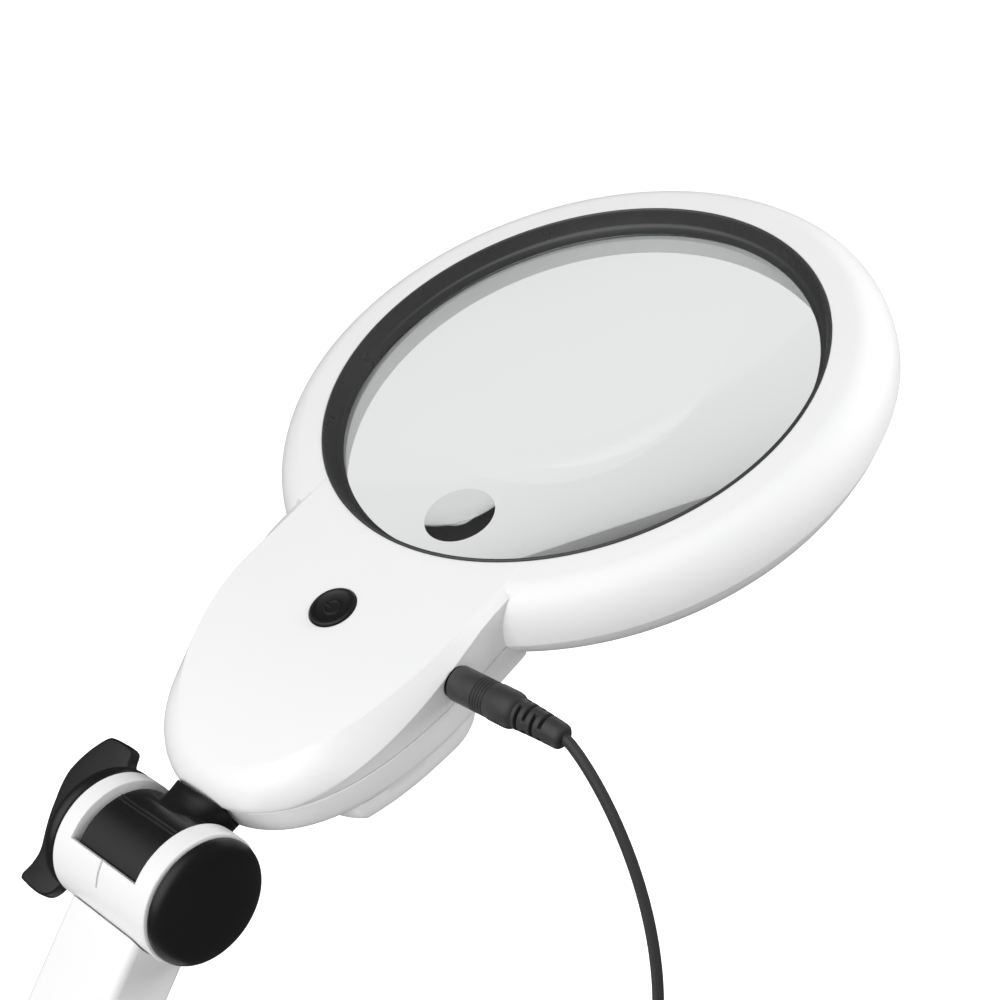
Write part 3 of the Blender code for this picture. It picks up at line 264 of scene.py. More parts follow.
def block(low_corner, high_corner):
    """Box between two corners."""
    (x0, y0, z0), (x1, y1, z1) = low_corner, high_corner
    return prism([(x0, y0), (x1, y0), (x1, y1), (x0, y1)], z0, z1)


def cylinder(radius, bottom, top, steps=SMALL_STEPS, centre=(0.0, 0.0)):
    """Upright round bar, used as a cutter or joined into a piece."""
    return moved(revolve([(radius, bottom), (radius, top)], steps), (*centre, 0.0))


def rounded_rectangle(length, width, radius, steps=10):
    """Outline with round corners, centred on the origin."""
    points = []
    for sign_x, sign_y, turn in ((1, 1, 0.0), (-1, 1, 0.5), (-1, -1, 1.0), (1, -1, 1.5)):
        centre = Vector((sign_x * (length / 2 - radius), sign_y * (width / 2 - radius), 0.0))
        for i in range(steps + 1):
            angle = math.pi * (turn + 0.5 * i / steps)
            points.append(centre + radius * Vector((math.cos(angle), math.sin(angle), 0.0)))
    return points


def superellipse(half_x, half_y, power, steps):
    """Outline of a superellipse in the XY plane."""
    points = []
    for i in range(steps):
        angle = 2.0 * math.pi * (i + 0.5) / steps
        cosine, sine = math.cos(angle), math.sin(angle)
        points.append(Vector((half_x * math.copysign(abs(cosine) ** (2.0 / power), cosine),
                              half_y * math.copysign(abs(sine) ** (2.0 / power), sine), 0.0)))
    return points


def moved(mesh, offset):
    """Shift a mesh."""
    mesh.transform(Matrix.Translation(Vector(offset)))
    return mesh


def turned(mesh, angle, axis):
    """Turn a mesh about an axis through the origin."""
    mesh.transform(Matrix.Rotation(angle, 4, axis))
    return mesh


def along_y(mesh):
    """Lay a mesh turned about Z along the Y axis."""
    return turned(mesh, -RIGHT_ANGLE, 'X')


def along_minus_y(mesh):
    """Lay a mesh turned about Z along -Y."""
    return turned(mesh, RIGHT_ANGLE, 'X')


def along_x(mesh):
    """Lay a mesh turned about Z along the X axis."""
    return turned(mesh, RIGHT_ANGLE, 'Y')


def placed(name, data):
    """New object in the scene."""
    item = bpy.data.objects.new(name, data)
    bpy.context.scene.collection.objects.link(item)
    return item


def finished(name, mesh):
    """Mesh data of a bmesh, which is freed."""
    data = bpy.data.meshes.new(name)
    mesh.to_mesh(data)
    mesh.free()
    return data


def loose_object(mesh):
    """Put a mesh in the scene for one modifier, and free it."""
    data = finished("tool", mesh)
    return placed("tool", data)


def evaluated_mesh(item):
    """Mesh of an object after its modifiers; the object is removed."""
    result = bmesh.new()
    evaluated = item.evaluated_get(bpy.context.evaluated_depsgraph_get())
    result.from_mesh(evaluated.to_mesh())
    evaluated.to_mesh_clear()
    remove(item)
    return result


def remove(item):
    """Delete an object and its mesh."""
    data = item.data
    bpy.data.objects.remove(item)
    bpy.data.meshes.remove(data)


def boolean(body, tool, operation):
    """Join or cut one closed mesh with another."""
    body_item = loose_object(body)
    tool_item = loose_object(tool)
    modifier = body_item.modifiers.new("boolean", 'BOOLEAN')
    modifier.operation = operation
    modifier.solver = 'EXACT'
    modifier.object = tool_item
    result = evaluated_mesh(body_item)
    remove(tool_item)
    bmesh.ops.remove_doubles(result, verts=result.verts, dist=WELD)
    return result


def fuse(body, *tools):
    """Join tools to a body."""
    for tool in tools:
        body = boolean(body, tool, 'UNION')
    return body


def carve(body, *tools):
    """Cut tools out of a body."""
    for tool in tools:
        body = boolean(body, tool, 'DIFFERENCE')
    return body


def bevelled(mesh, width, segments=3, angle=30.0):
    """Round every sharp edge of a mesh."""
    item = loose_object(mesh)
    modifier = item.modifiers.new("bevel", 'BEVEL')
    modifier.width = width
    modifier.segments = segments
    modifier.limit_method = 'ANGLE'
    modifier.angle_limit = math.radians(angle)
    return evaluated_mesh(item)


def tube(path, radii, steps, squash=1.0):
    """Round bar along a path in the YZ plane, one radius for each path point."""
    loops = []
    across = Vector((1.0, 0.0, 0.0))
    for i, point in enumerate(path):
        tangent = (path[min(i + 1, len(path) - 1)] - path[max(i - 1, 0)]).normalized()
        up = tangent.cross(across)
        angles = [2.0 * math.pi * k / steps for k in range(steps)]
        loops.append([point + radii[i] * (squash * math.cos(a) * across + math.sin(a) * up)
                      for a in angles])
    return loft(loops)


def spline(points, steps):
    """Smooth curve through points of any dimension, by Catmull-Rom pieces."""
    curve = []
    for i in range(len(points) - 1):
        before = points[max(i - 1, 0)]
        after = points[min(i + 2, len(points) - 1)]
        for k in range(steps):
            t = k / steps
            curve.append(tuple(
                0.5 * (2 * b + (c - a) * t + (2 * a - 5 * b + 4 * c - d) * t * t
                       + (3 * b - a - 3 * c + d) * t ** 3)
                for a, b, c, d in zip(before, points[i], points[i + 1], after)))
    return curve + [points[-1]]


def piece(name, mesh, matrix, look, body, node=None):
    """Add one finished piece, riding on a CAD body and standing for a CAD node.
    """
    mesh.transform(matrix)
    data = finished(name, mesh)
    data.materials.append(looks[look])
    data.shade_smooth()
    data.set_sharp_from_angle(angle=SMOOTH_ANGLE)
    item = placed(name, data)
    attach(item, body)
    if node:
        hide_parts(node)


# ================================ materials ========================================

class Shading:
    """Node tree of a material or of the world, with the nodes that this scene repeats."""

    def __init__(self, owner):
        owner.use_nodes = True
        self.owner = owner
        self.nodes = owner.node_tree.nodes
        self.links = owner.node_tree.links

    def feed(self, node, inputs):
        """Set a node's inputs; a value that is a socket is linked."""
        for key, value in inputs.items():
            if isinstance(value, bpy.types.NodeSocket):
                self.links.new(value, node.inputs[key])
            else:
                node.inputs[key].default_value = value

    def add(self, kind, output, inputs=None, **settings):
        """New node; returns one of its output sockets."""
        node = self.nodes.new("ShaderNode" + kind)
        for key, value in settings.items():
            setattr(node, key, value)
        self.feed(node, inputs or {})
        return node.outputs[output]

    def own_place(self):
        """The piece's own coordinates."""
        return self.add("TexCoord", "Object")

    def ray(self, kind):
        """1 for rays of one kind, else 0."""
        return self.add("LightPath", f"Is {kind} Ray")

    def noise(self, scale, detail=3.0, roughness=0.55):
        """Noise in the piece's own coordinates."""
        return self.add("TexNoise", "Fac", {"Scale": scale, "Detail": detail,
                                            "Roughness": roughness, "Vector": self.own_place()})

    def spread(self, value, low_value, high_value):
        """Map the usual span of a noise to a range."""
        return self.add("MapRange", "Result", {"Value": value, "From Min": 0.3, "From Max": 0.7,
                                               "To Min": low_value, "To Max": high_value})

    def blend(self, factor, first, second):
        """Blend two colours, each a socket or three numbers."""
        first, second = [colour if isinstance(colour, bpy.types.NodeSocket) else (*colour, 1.0)
                         for colour in (first, second)]
        return self.add("Mix", "Result", {"Factor": factor, "A": first, "B": second},
                        data_type='RGBA')

    def choose(self, factor, first, second):
        """Blend two shaders."""
        return self.add("MixShader", "Shader", {"Fac": factor, 1: first, 2: second})

    def soft_edges(self, radius):
        """Soft-edge normal and a mask that is high on edges and corners."""
        normal = self.add("Bevel", "Normal", {"Radius": radius}, samples=4)
        flatness = self.add("VectorMath", "Value",
                            {0: normal, 1: self.add("NewGeometry", "Normal")},
                            operation='DOT_PRODUCT')
        return normal, self.add("MapRange", "Result", {"Value": flatness, "From Min": 0.99,
                                                       "From Max": 0.8})

    def grain(self, scale, depth, normal=None):
        """Normal with a fine moulded grain on it."""
        inputs = {"Strength": 1.0, "Distance": depth, "Height": self.noise(scale)}
        if normal is not None:
            inputs["Normal"] = normal
        return self.add("Bump", "Normal", inputs)


class Look(Shading):
    """Material around one Principled shader."""

    def __init__(self, name):
        super().__init__(bpy.data.materials.new(name))
        self.shader = self.nodes["Principled BSDF"]
        self.output = self.nodes["Material Output"]

    def give(self, inputs):
        """Set inputs of the Principled shader; returns the material."""
        self.feed(self.shader, inputs)
        return self.owner

    def show(self, surface):
        """Put a shader on the surface; returns the material."""
        self.links.new(surface, self.output.inputs["Surface"])
        return self.owner

    def pass_light(self, tint):
        """Let light through, so that the piece casts only a faint shadow."""
        clear = self.add("BsdfTransparent", "BSDF", {"Color": (*tint, 1.0)})
        return self.show(self.choose(self.ray("Shadow"), self.shader.outputs["BSDF"], clear))

    def painted_shade_edge(self, radius):
        """Matt dark grey edge outside a radius from the head's lens axis: painted shade, standing in for the dark
        zones seen inside the lens.
        """
        offset = self.add("VectorMath", "Vector", {0: self.own_place(), 1: lens_origin},
                          operation='SUBTRACT')
        lever = self.add("VectorMath", "Vector", {0: offset, 1: head_up},
                         operation='CROSS_PRODUCT')
        distance = self.add("VectorMath", "Value", {0: lever}, operation='LENGTH')
        outside = self.add("Math", "Value", {0: distance, 1: radius}, operation='GREATER_THAN')
        grey = self.blend(self.noise(500.0), (0.15, 0.155, 0.155), (0.11, 0.115, 0.115))
        return self.show(self.choose(outside, self.output.inputs["Surface"].links[0].from_socket,
                                     self.add("BsdfDiffuse", "BSDF", {"Color": grey})))


def plastic(name, colour, tint, roughness, coat=0.0, grain=1400.0, depth=0.004 * MM,
            wear=(0.5, 0.5, 0.5), wear_amount=0.06, specular=0.5):
    """Moulded plastic: slight tone drift, grain, uneven gloss and rubbed edges."""
    look = Look(name)
    normal, mask = look.soft_edges(0.45 * MM)
    scuffs = look.add("Math", "Value", {
        0: mask, 1: look.spread(look.noise(260.0, 5.0), 0.0, wear_amount)}, operation='MULTIPLY')
    return look.give({
        "Base Color": look.blend(scuffs, look.blend(look.noise(24.0, 4.0), colour, tint), wear),
        "Roughness": look.spread(look.noise(90.0, 5.0), roughness - 0.04, roughness + 0.06),
        "Specular IOR Level": specular, "Coat Weight": coat, "Coat Roughness": 0.12,
        "Normal": look.grain(grain, depth, normal)})


def metal(name, colour, tint, roughness, grain=900.0, depth=0.003 * MM):
    """Plated or cast metal with a drifting tone and fine scratches."""
    look = Look(name)
    normal, _ = look.soft_edges(0.2 * MM)
    return look.give({
        "Base Color": look.blend(look.noise(180.0, 6.0), colour, tint), "Metallic": 1.0,
        "Roughness": look.spread(look.noise(400.0, 6.0), roughness * 0.7, roughness * 1.4),
        "Normal": look.grain(grain, depth, normal)})


def clear_material(name):
    """Moulded acrylic lens: clear, with a trace of waviness and dust in its gloss."""
    look = Look(name)
    look.give({
        "Base Color": look.blend(look.noise(12.0), (0.975, 0.985, 0.982), (0.955, 0.968, 0.964)),
        "Transmission Weight": 1.0, "IOR": 1.49,
        "Roughness": look.spread(look.noise(700.0, 6.0), 0.0, 0.03),
        "Normal": look.grain(30.0, 0.004 * MM)})
    look.pass_light((0.93, 0.94, 0.94))
    # The lens's rim gets a painted shade of dark grey, for the dark zones seen inside the lens.
    return look.painted_shade_edge(LENS_RADIUS - 0.05 * MM)


def frosted_material(name):
    """Frosted diffuser: milky, with a fine etched surface."""
    look = Look(name)
    look.give({
        "Base Color": look.blend(look.noise(60.0), (0.93, 0.93, 0.9), (0.86, 0.86, 0.83)),
        "Transmission Weight": 0.45,
        "Roughness": look.spread(look.noise(500.0), 0.42, 0.58),
        "Normal": look.grain(3000.0, 0.01 * MM)})
    return look.pass_light((0.6, 0.6, 0.58))


def foam_material(name):
    """Closed-cell foam: open pores and no gloss."""
    look = Look(name)
    cells = look.add("TexVoronoi", "Distance", {"Scale": 900.0, "Vector": look.own_place()})
    return look.give({
        "Base Color": look.blend(cells, (0.02, 0.02, 0.022), (0.08, 0.08, 0.085)),
        "Roughness": 0.92,
        "Normal": look.add("Bump", "Normal", {"Distance": 0.12 * MM, "Height": cells})})


def board_material(name, colour, track):
    """Circuit board: lacquer over a faint pattern of tracks."""
    look = Look(name)
    shade = 0.85
    return look.give({
        "Base Color": look.add("TexBrick", "Color", {
            "Scale": 260.0, "Mortar Size": 0.05, "Color1": (*colour, 1.0),
            "Color2": (*[shade * c for c in colour], 1.0), "Mortar": (*track, 1.0),
            "Vector": look.own_place()}),
        "Roughness": look.spread(look.noise(300.0), 0.25, 0.45),
        "Normal": look.grain(800.0, 0.01 * MM)})


def fibre_material(name):
    """Pressed fibre: short dark and light strands."""
    look = Look(name)
    return look.give({
        "Base Color": look.blend(look.noise(1800.0, 8.0), (0.24, 0.08, 0.045), (0.42, 0.17, 0.1)),
        "Roughness": 0.75, "Normal": look.grain(2200.0, 0.03 * MM)})


def floor_material(name):
    """Over-lit white sweep: white to the camera, even through the lens, grey as a bounce."""
    look = Look(name)
    paper = look.blend(look.noise(3.0), (0.95, 0.95, 0.95), (0.935, 0.935, 0.94))
    look.give({"Base Color": paper, "Roughness": 0.9, "Specular IOR Level": 0.0,
               "Emission Color": paper, "Emission Strength": FLOOR_GLOW})
    tone = look.blend(look.ray("Glossy"), [FLOOR_BOUNCE] * 3, [FLOOR_MIRRORED] * 3)
    bounce = look.add("BsdfDiffuse", "BSDF", {"Color": tone})
    through = look.add("Emission", "Emission", {"Strength": FLOOR_THROUGH_LENS})
    seen = look.choose(look.ray("Camera"), bounce, look.shader.outputs["BSDF"])
    return look.show(look.choose(look.ray("Transmission"), seen, through))


BLACK_WEAR = (0.05, 0.05, 0.05)
looks = {
    "white_plastic": plastic("white_moulding", (0.81, 0.81, 0.815), (0.795, 0.796, 0.803),
                             0.33, wear=(0.7, 0.7, 0.69)),
    "black_plastic": plastic("black_moulding", (0.006, 0.006, 0.0065), (0.010, 0.010, 0.011),
                             0.3, wear=BLACK_WEAR, wear_amount=0.4, specular=0.35),
    "bezel_plastic": plastic("bezel_moulding", (0.034, 0.034, 0.035), (0.044, 0.044, 0.046),
                             0.3, wear=(0.08, 0.08, 0.08), wear_amount=0.3, specular=0.6),
    "black_rubber": plastic("black_flexible", (0.030, 0.030, 0.031), (0.040, 0.040, 0.041),
                            0.4, grain=2200.0, depth=0.008 * MM, wear=BLACK_WEAR,
                            wear_amount=0.3, specular=0.35),
    "clear_lens": clear_material("clear_acrylic"),
    "frosted_plastic": frosted_material("frosted_cover"),
    "plated_steel": metal("bright_plating", (0.66, 0.67, 0.69), (0.56, 0.57, 0.59), 0.22),
    "cast_iron": metal("dark_casting", (0.13, 0.13, 0.135), (0.2, 0.19, 0.18), 0.6,
                       grain=1100.0, depth=0.08 * MM),
    "grip_foam": foam_material("non_slip_foam"),
    "fibre_washer": fibre_material("pressed_fibre"),
    "circuit_board": board_material("green_board", (0.02, 0.14, 0.05), (0.05, 0.24, 0.09)),
    "light_board": board_material("white_board", (0.8, 0.8, 0.78), (0.7, 0.7, 0.67)),
    "battery_sleeve": plastic("cell_sleeve", (0.08, 0.2, 0.4), (0.1, 0.24, 0.46), 0.3, 0.3),
}


# ================================ head shells ======================================

def half_width(along, inset, tip):
    """Half width of the handle's outline, drawn in by an inset, at a distance along it."""
    if along <= HANDLE_SHOULDER:
        return HANDLE_HALF - inset
    share = min((along - HANDLE_SHOULDER) / (tip - HANDLE_SHOULDER), 1.0)
    return (HANDLE_HALF - inset) * (1.0 - share ** HANDLE_POWER) ** HANDLE_ROOT


def handle_row(inset_at, height_at, start=HANDLE_START, end=None, steps=44):
    """Closed outline round the handle; inset and height are functions of the distance along."""
    tip = HANDLE_TIP - inset_at(HANDLE_TIP)
    stop = tip if end is None else end
    distances = [start + (HANDLE_SHOULDER - start) * i / 6 for i in range(7)]
    for i in range(1, steps):
        share = math.sin(QUARTER * i / steps) ** 0.9
        distances.append(HANDLE_SHOULDER + (stop - HANDLE_SHOULDER) * share)
    distances.append(stop)
    side = [Vector((-a, half_width(a, inset_at(a), tip), height_at(a))) for a in distances]
    if side[-1].y < 1e-6:
        side[-1].y = 0.0
        return side + [Vector((p.x, -p.y, p.z)) for p in reversed(side[:-1])]
    return side + [Vector((p.x, -p.y, p.z)) for p in reversed(side)]


def level(value):
    """The same inset or height all along the handle."""
    return lambda along: value


def top_height(along):
    """The handle's top face falls away towards the hinge."""
    share = max(0.0, along - SLOPE_START) / (HANDLE_TIP - SLOPE_START)
    return -0.02 * MM - SLOPE_DROP * share ** 2


def lip_height(along):
    """Height of the handle's widest edge, which slopes down towards the hinge."""
    height = -4.0 * MM - 0.182 * (along - 92.0 * MM)
    return max(-12.2 * MM, min(height, -1.6 * MM))


def facet_width(along):
    """Width of the sloping facet between the widest edge and the top face."""
    return 2.8 * MM + 0.09 * max(0.0, along - SLOPE_START)


def facet_share(along):
    """1 where the facet is flat, 0 at the tip, where it turns into a round edge."""
    share = min(max((along - 118.0 * MM) / (22.0 * MM), 0.0), 1.0)
    return 1.0 - share * share * (3.0 - 2.0 * share)


def facet_row(share):
    """One outline on the facet, from the widest edge (0) to the top face (1)."""
    angle = QUARTER * share

    def inset(along):
        flat = facet_share(along)
        return facet_width(along) * (flat * share + (1.0 - flat) * (1.0 - math.cos(angle)))

    def height(along):
        flat = facet_share(along)
        rise = flat * share + (1.0 - flat) * math.sin(angle)
        return lip_height(along) + (top_height(along) - lip_height(along)) * rise

    return handle_row(inset, height)


def upper_handle():
    """Upper half of the handle as a closed solid."""
    under_lip = [
        handle_row(level(0.8 * MM), level(-16.0 * MM)),
        handle_row(level(0.7 * MM), level(SEAM + 0.2 * MM)),
        handle_row(level(0.3 * MM), lambda a: 0.5 * (lip_height(a) + SEAM)),
        handle_row(level(0.06 * MM), lambda a: lip_height(a) - 0.25 * MM)]
    shares = [0.0, 0.06, 0.15, 0.3, 0.45, 0.6, 0.75, 0.88, 0.96, 1.0]
    plateau = [handle_row(lambda a, extra=extra: facet_width(a) + extra, top_height)
               for extra in (0.5 * MM, 1.5 * MM, 4.0 * MM)]
    return loft(under_lip + [facet_row(share) for share in shares] + plateau,
                mirrored_caps=True)


def ring_shoulder(steps=22):
    """Outer top edge of the ring: a quarter ellipse from the flat to the widest line."""
    width = RING_RADIUS - RING_FLAT_RADIUS
    points = []
    for i in range(steps + 1):
        angle = QUARTER * i / steps
        points.append((RING_FLAT_RADIUS + width * math.sin(angle),
                       RING_WIDEST * (1.0 - math.cos(angle))))
    return points


SHELL_SCREWS = [(133.0 * MM, 20.6 * MM), (133.0 * MM, -20.6 * MM),
                (102.0 * MM, 25.0 * MM), (102.0 * MM, -25.0 * MM)]
UPPER_SEAM = SEAM + 0.5 * GAP
LOWER_SEAM = SEAM - 0.5 * GAP


def neck_slot():
    """Opening in the handle's tip for the neck's tang."""
    half = 7.0 * MM + GAP
    return block((-0.16, -half, TANG_BOTTOM - GAP), (-0.1355, half, TANG_TOP + GAP))


def top_shell_mesh():
    """Upper shell: ring and handle, hollow, with screw bosses and its openings."""
    rebate = RING_RADIUS - 0.25 * MM
    ring = revolve(ring_shoulder() + [(RING_RADIUS, -13.1 * MM), (rebate, UPPER_SEAM),
                                      (rebate, -15.0 * MM), (0.0, -15.0 * MM)])
    shell = fuse(ring, upper_handle())
    bore = cylinder(OPENING_RADIUS, BELOW, ABOVE, RING_STEPS)
    channel = revolve([(72.3 * MM, BELOW), (82.8 * MM, BELOW)]
                      + mm([(82.8, -10.0), (77.5, -2.6), (72.3, -2.2)]), closed=True)
    roof = loft([handle_row(level(3.2 * MM), level(BELOW), CAVITY_START),
                 handle_row(level(3.2 * MM), lambda a: lip_height(a) - 1.6 * MM, CAVITY_START),
                 handle_row(level(7.6 * MM), lambda a: top_height(a) - 2.0 * MM, CAVITY_START)],
                mirrored_caps=True)
    shell = carve(shell, bore, channel, roof)
    for along, side in SHELL_SCREWS:
        top = lip_height(along) + 0.4 * MM
        boss = revolve([(2.5 * MM, -17.0 * MM), (2.5 * MM, top), (1.2 * MM, top - 1.5 * MM),
                        (1.2 * MM, -17.0 * MM)], 24, closed=True)
        shell = fuse(shell, moved(boss, (-along, side, 0.0)))
    shell = carve(shell, block((-0.2, -0.1, BELOW), (0.1, 0.1, UPPER_SEAM)))
    button_hole = cylinder(BUTTON_RADIUS + GAP, -0.004, ABOVE, 64, (-BUTTON_ALONG, 0.0))
    jack_hole = moved(along_y(cylinder(3.9 * MM, -0.05, -BESIDE)), (-PLUG_ALONG, 0.0, PLUG_Z))
    return carve(shell, button_hole, jack_hole, neck_slot())


def led_angles():
    """Where the lights stand on their ring."""
    return [2.0 * math.pi * (i + 0.5) / LED_COUNT for i in range(LED_COUNT)]


def belly_row(inset, height, side_limit=HANDLE_HALF, steps=120):
    """Rounded outline of the bulge that holds the cells, kept inside the handle's outline."""
    row = []
    for point in superellipse(BELLY_HALF_LENGTH - inset, BELLY_HALF_WIDTH - inset, BELLY_POWER,
                              steps):
        along = BELLY_MIDDLE - point.x
        limit = min(half_width(along, inset + 2.4 * MM, HANDLE_TIP - inset), side_limit)
        row.append(Vector((-along, max(-limit, min(limit, point.y)), height)))
    return row


def belly_rows():
    """Bulge under the handle, its bottom edge rounded over."""
    edge = [(0.0, -22.3), (0.15, -25.0), (0.4, -27.2), (0.8, -28.2), (1.5, -28.8), (2.4, -29.0)]
    return [belly_row(inset * MM, height * MM) for inset, height in edge]


def bottom_shell_mesh():
    """Lower shell: ring with the light channel, handle, bulge for the cells and screw bosses."""
    ring = revolve(
        [(84.2 * MM, LOWER_SEAM + 2.0 * MM), (84.2 * MM, LOWER_SEAM),
         (84.35 * MM, LOWER_SEAM - 0.3 * MM)]
        + mm([(83.9, -15.2), (83.2, -16.6), (82.3, -18.0), (81.4, -19.3), (80.6, -20.3),
              (80.0, -20.8), (79.4, -21.0), (0.0, -21.0)]))
    wall = [(1.1, -12.65), (1.1, -13.65), (0.75, -14.0), (0.85, -17.0), (1.3, -20.3),
            (1.7, -21.8), (2.3, -22.7), (3.3, -23.3)]
    handle = loft([handle_row(level(inset * MM), level(z * MM)) for inset, z in wall])
    handle = carve(handle, cylinder(80.0 * MM, BELOW, RING_BOTTOM, RING_STEPS))
    shell = fuse(ring, handle, loft(belly_rows()))
    cavity = loft([handle_row(level(3.0 * MM), level(z), CAVITY_START)
                   for z in (HANDLE_BOTTOM + 1.7 * MM, 0.0)])
    shell = carve(
        shell,
        cylinder(WINDOW_RADIUS, BELOW, ABOVE, RING_STEPS),
        block((-0.2, -0.1, LOWER_SEAM), (0.1, 0.1, -BELOW)),
        revolve(mm([(67.9, 0.0), (82.3, 0.0), (82.3, -13.0), (81.2, -17.6), (67.9, -17.6)]),
                closed=True),
        cavity,
        revolve([(67.2 * MM, BELOW), (79.2 * MM, BELOW), (79.2 * MM, -19.3 * MM),
                 (67.2 * MM, -19.3 * MM)], closed=True))
    seat = revolve([(WINDOW_RADIUS, -11.1 * MM), (67.7 * MM, -11.1 * MM),
                    (67.7 * MM, -15.0 * MM), (WINDOW_RADIUS, -15.0 * MM)], closed=True)
    shell = fuse(shell, seat)
    for along, side in SHELL_SCREWS:
        boss = cylinder(2.9 * MM, HANDLE_BOTTOM + 1.0 * MM, LOWER_SEAM, 24, (-along, side))
        shell = fuse(shell, boss)
    for along, side in SHELL_SCREWS:
        beyond_belly = along > BELLY_MIDDLE + BELLY_HALF_LENGTH
        recess = HANDLE_BOTTOM + 2.4 * MM if beyond_belly else -25.0 * MM
        shell = carve(shell, cylinder(1.5 * MM, BELOW, 0.0, 24, (-along, side)),
                      cylinder(2.3 * MM, BELOW, recess, 32, (-along, side)))
    cells = loft([belly_row(4.6 * MM, z, 17.3 * MM) for z in (BELOW, -20.0 * MM)])
    cover_seat = loft([belly_row(COVER_INSET - 0.4 * MM, z) for z in (BELOW, -27.0 * MM)])
    shell = carve(shell, cells, cover_seat, neck_slot())
    for angle in led_angles():
        spot = (LED_CIRCLE * math.cos(angle), LED_CIRCLE * math.sin(angle))
        shell = carve(shell, cylinder(3.0 * MM, BELOW, 0.0, 20, spot))
    return shell


def battery_cover_mesh():
    """Cover with rounded rim, finger notch and grip ribs at its hinge end."""
    rim = [(0.0, 1.7), (0.0, 0.35), (0.12, 0.1), (0.4, 0.0)]
    cover = loft([belly_row(COVER_INSET + inset * MM, BELLY_BOTTOM + rise * MM)
                  for inset, rise in rim])
    notch = moved(along_y(cylinder(5.0 * MM, -5.0 * MM, 5.0 * MM)),
                  (-124.5 * MM, 0.0, BELLY_BOTTOM - 4.2 * MM))
    cover = carve(cover, notch)
    for i in range(5):
        rib = block((-(116.0 - 2.4 * i) * MM, -9.0 * MM, BELLY_BOTTOM - 1.0 * MM),
                    (-(115.2 - 2.4 * i) * MM, 9.0 * MM, BELLY_BOTTOM + 0.35 * MM))
        cover = carve(cover, rib)
    return cover


# ================================ lens and bezel ===================================

def bezel_mesh():
    """Black ring: thin lip on top, then a step and a cone down to the glass."""
    inner = mm([(69.58, 0.15), (69.4, 0.3), (69.0, 0.3), (68.8, 0.15), (68.7, -0.1),
                (67.5, -3.6), (67.3, -3.9), (66.75, -4.05), (66.5, -4.3), (65.8, -6.05),
                (65.75, -6.25)])
    return revolve([(BEZEL_RADIUS, -0.1 * MM)] + inner + [(BEZEL_RADIUS, -6.6 * MM)], closed=True)


LENS_CURVE = (LENS_RADIUS ** 2 + LENS_SAG ** 2) / (2.0 * LENS_SAG)


def main_lens_mesh():
    """Lens with two equal spherical faces."""
    steps = 40
    radii = [LENS_RADIUS * i / steps for i in range(steps + 1)]
    drops = [LENS_CURVE - math.sqrt(LENS_CURVE * LENS_CURVE - r * r) for r in radii]
    top = [(r, LENS_MIDDLE + LENS_EDGE + LENS_SAG - d) for r, d in zip(radii, drops)]
    bottom = [(r, LENS_MIDDLE - LENS_EDGE - LENS_SAG + d) for r, d in zip(radii, drops)]
    return revolve(top + bottom[::-1], 160)


def inset_lens_mesh():
    """Small lens cemented under the main lens: it follows that face, thicker in its middle."""
    lowest = LENS_MIDDLE - LENS_EDGE - LENS_SAG - INSET_BOND
    rings, steps = 16, 96
    mesh = bmesh.new()
    for direction in (0.0, -INSET_SAG):
        rows = []
        for k in range(rings + 1):
            share = k / rings
            row = []
            for i in range(steps if k else 1):
                angle = 2.0 * math.pi * i / steps
                x = INSET_RADIUS * share * math.cos(angle) - INSET_OFFSET
                y = INSET_RADIUS * share * math.sin(angle)
                z = lowest + LENS_CURVE - math.sqrt(LENS_CURVE * LENS_CURVE - x * x - y * y)
                row.append(mesh.verts.new((x, y, z + direction * (1.0 - share * share))))
            rows.append(row)
        for inner, outer in zip(rows, rows[1:]):
            join_loops(mesh, inner, outer)
    bmesh.ops.remove_doubles(mesh, verts=mesh.verts, dist=1e-7)
    return outward(mesh)


def diffuser_mesh():
    """Flat ring under the lights."""
    return revolve(mm([(67.5, -20.8), (67.7, -21.0), (78.7, -21.0), (78.9, -20.8),
                       (78.9, -19.6), (67.5, -19.6)]), closed=True)


# ================================ button ===========================================

def button_mesh():
    """Push button: rounded rim, dished centre and a raised ring-and-bar power mark."""
    rim = BUTTON_RADIUS
    profile = [(0.0, 0.05 * MM), (2.5 * MM, 0.08 * MM), (rim - 1.7 * MM, 0.16 * MM),
               (rim - 1.3 * MM, 0.3 * MM), (rim - 1.05 * MM, 0.52 * MM), (rim - 0.8 * MM, 0.6 * MM),
               (rim - 0.45 * MM, 0.6 * MM), (rim - 0.2 * MM, 0.52 * MM), (rim, 0.25 * MM),
               (rim, -2.6 * MM), (rim + 1.2 * MM, -2.6 * MM), (rim + 1.2 * MM, -3.4 * MM)]
    profile += mm([(2.0, -3.4), (2.0, -4.6), (0.0, -4.6)])
    button = revolve(profile, 96)
    mark_ring = revolve(mm([(1.75, -0.3), (2.3, -0.3), (2.3, 0.3), (1.75, 0.3)]), 64, closed=True)
    opening = block((-0.9 * MM, 0.6 * MM, -1.0 * MM), (0.9 * MM, 4.0 * MM, 1.0 * MM))
    bar = block((-0.27 * MM, 0.5 * MM, -0.3 * MM), (0.27 * MM, 2.6 * MM, 0.3 * MM))
    return fuse(button, carve(mark_ring, opening), bar)


# ================================ hinges ===========================================

def sector(radius, start, end, half_width_y, steps=36, inner=0.0):
    """Sector or ring sector about Y; angles are from +Z towards -X."""
    angles = [start + (end - start) * i / steps for i in range(steps + 1)]
    outline = [Vector((-radius * math.sin(a), radius * math.cos(a), 0.0)) for a in angles]
    if inner > 0.0:
        outline += [Vector((-inner * math.sin(a), inner * math.cos(a), 0.0))
                    for a in reversed(angles)]
    else:
        outline.append(Vector((0.0, 0.0, 0.0)))
    return outward(along_minus_y(prism(outline, -half_width_y, half_width_y)))


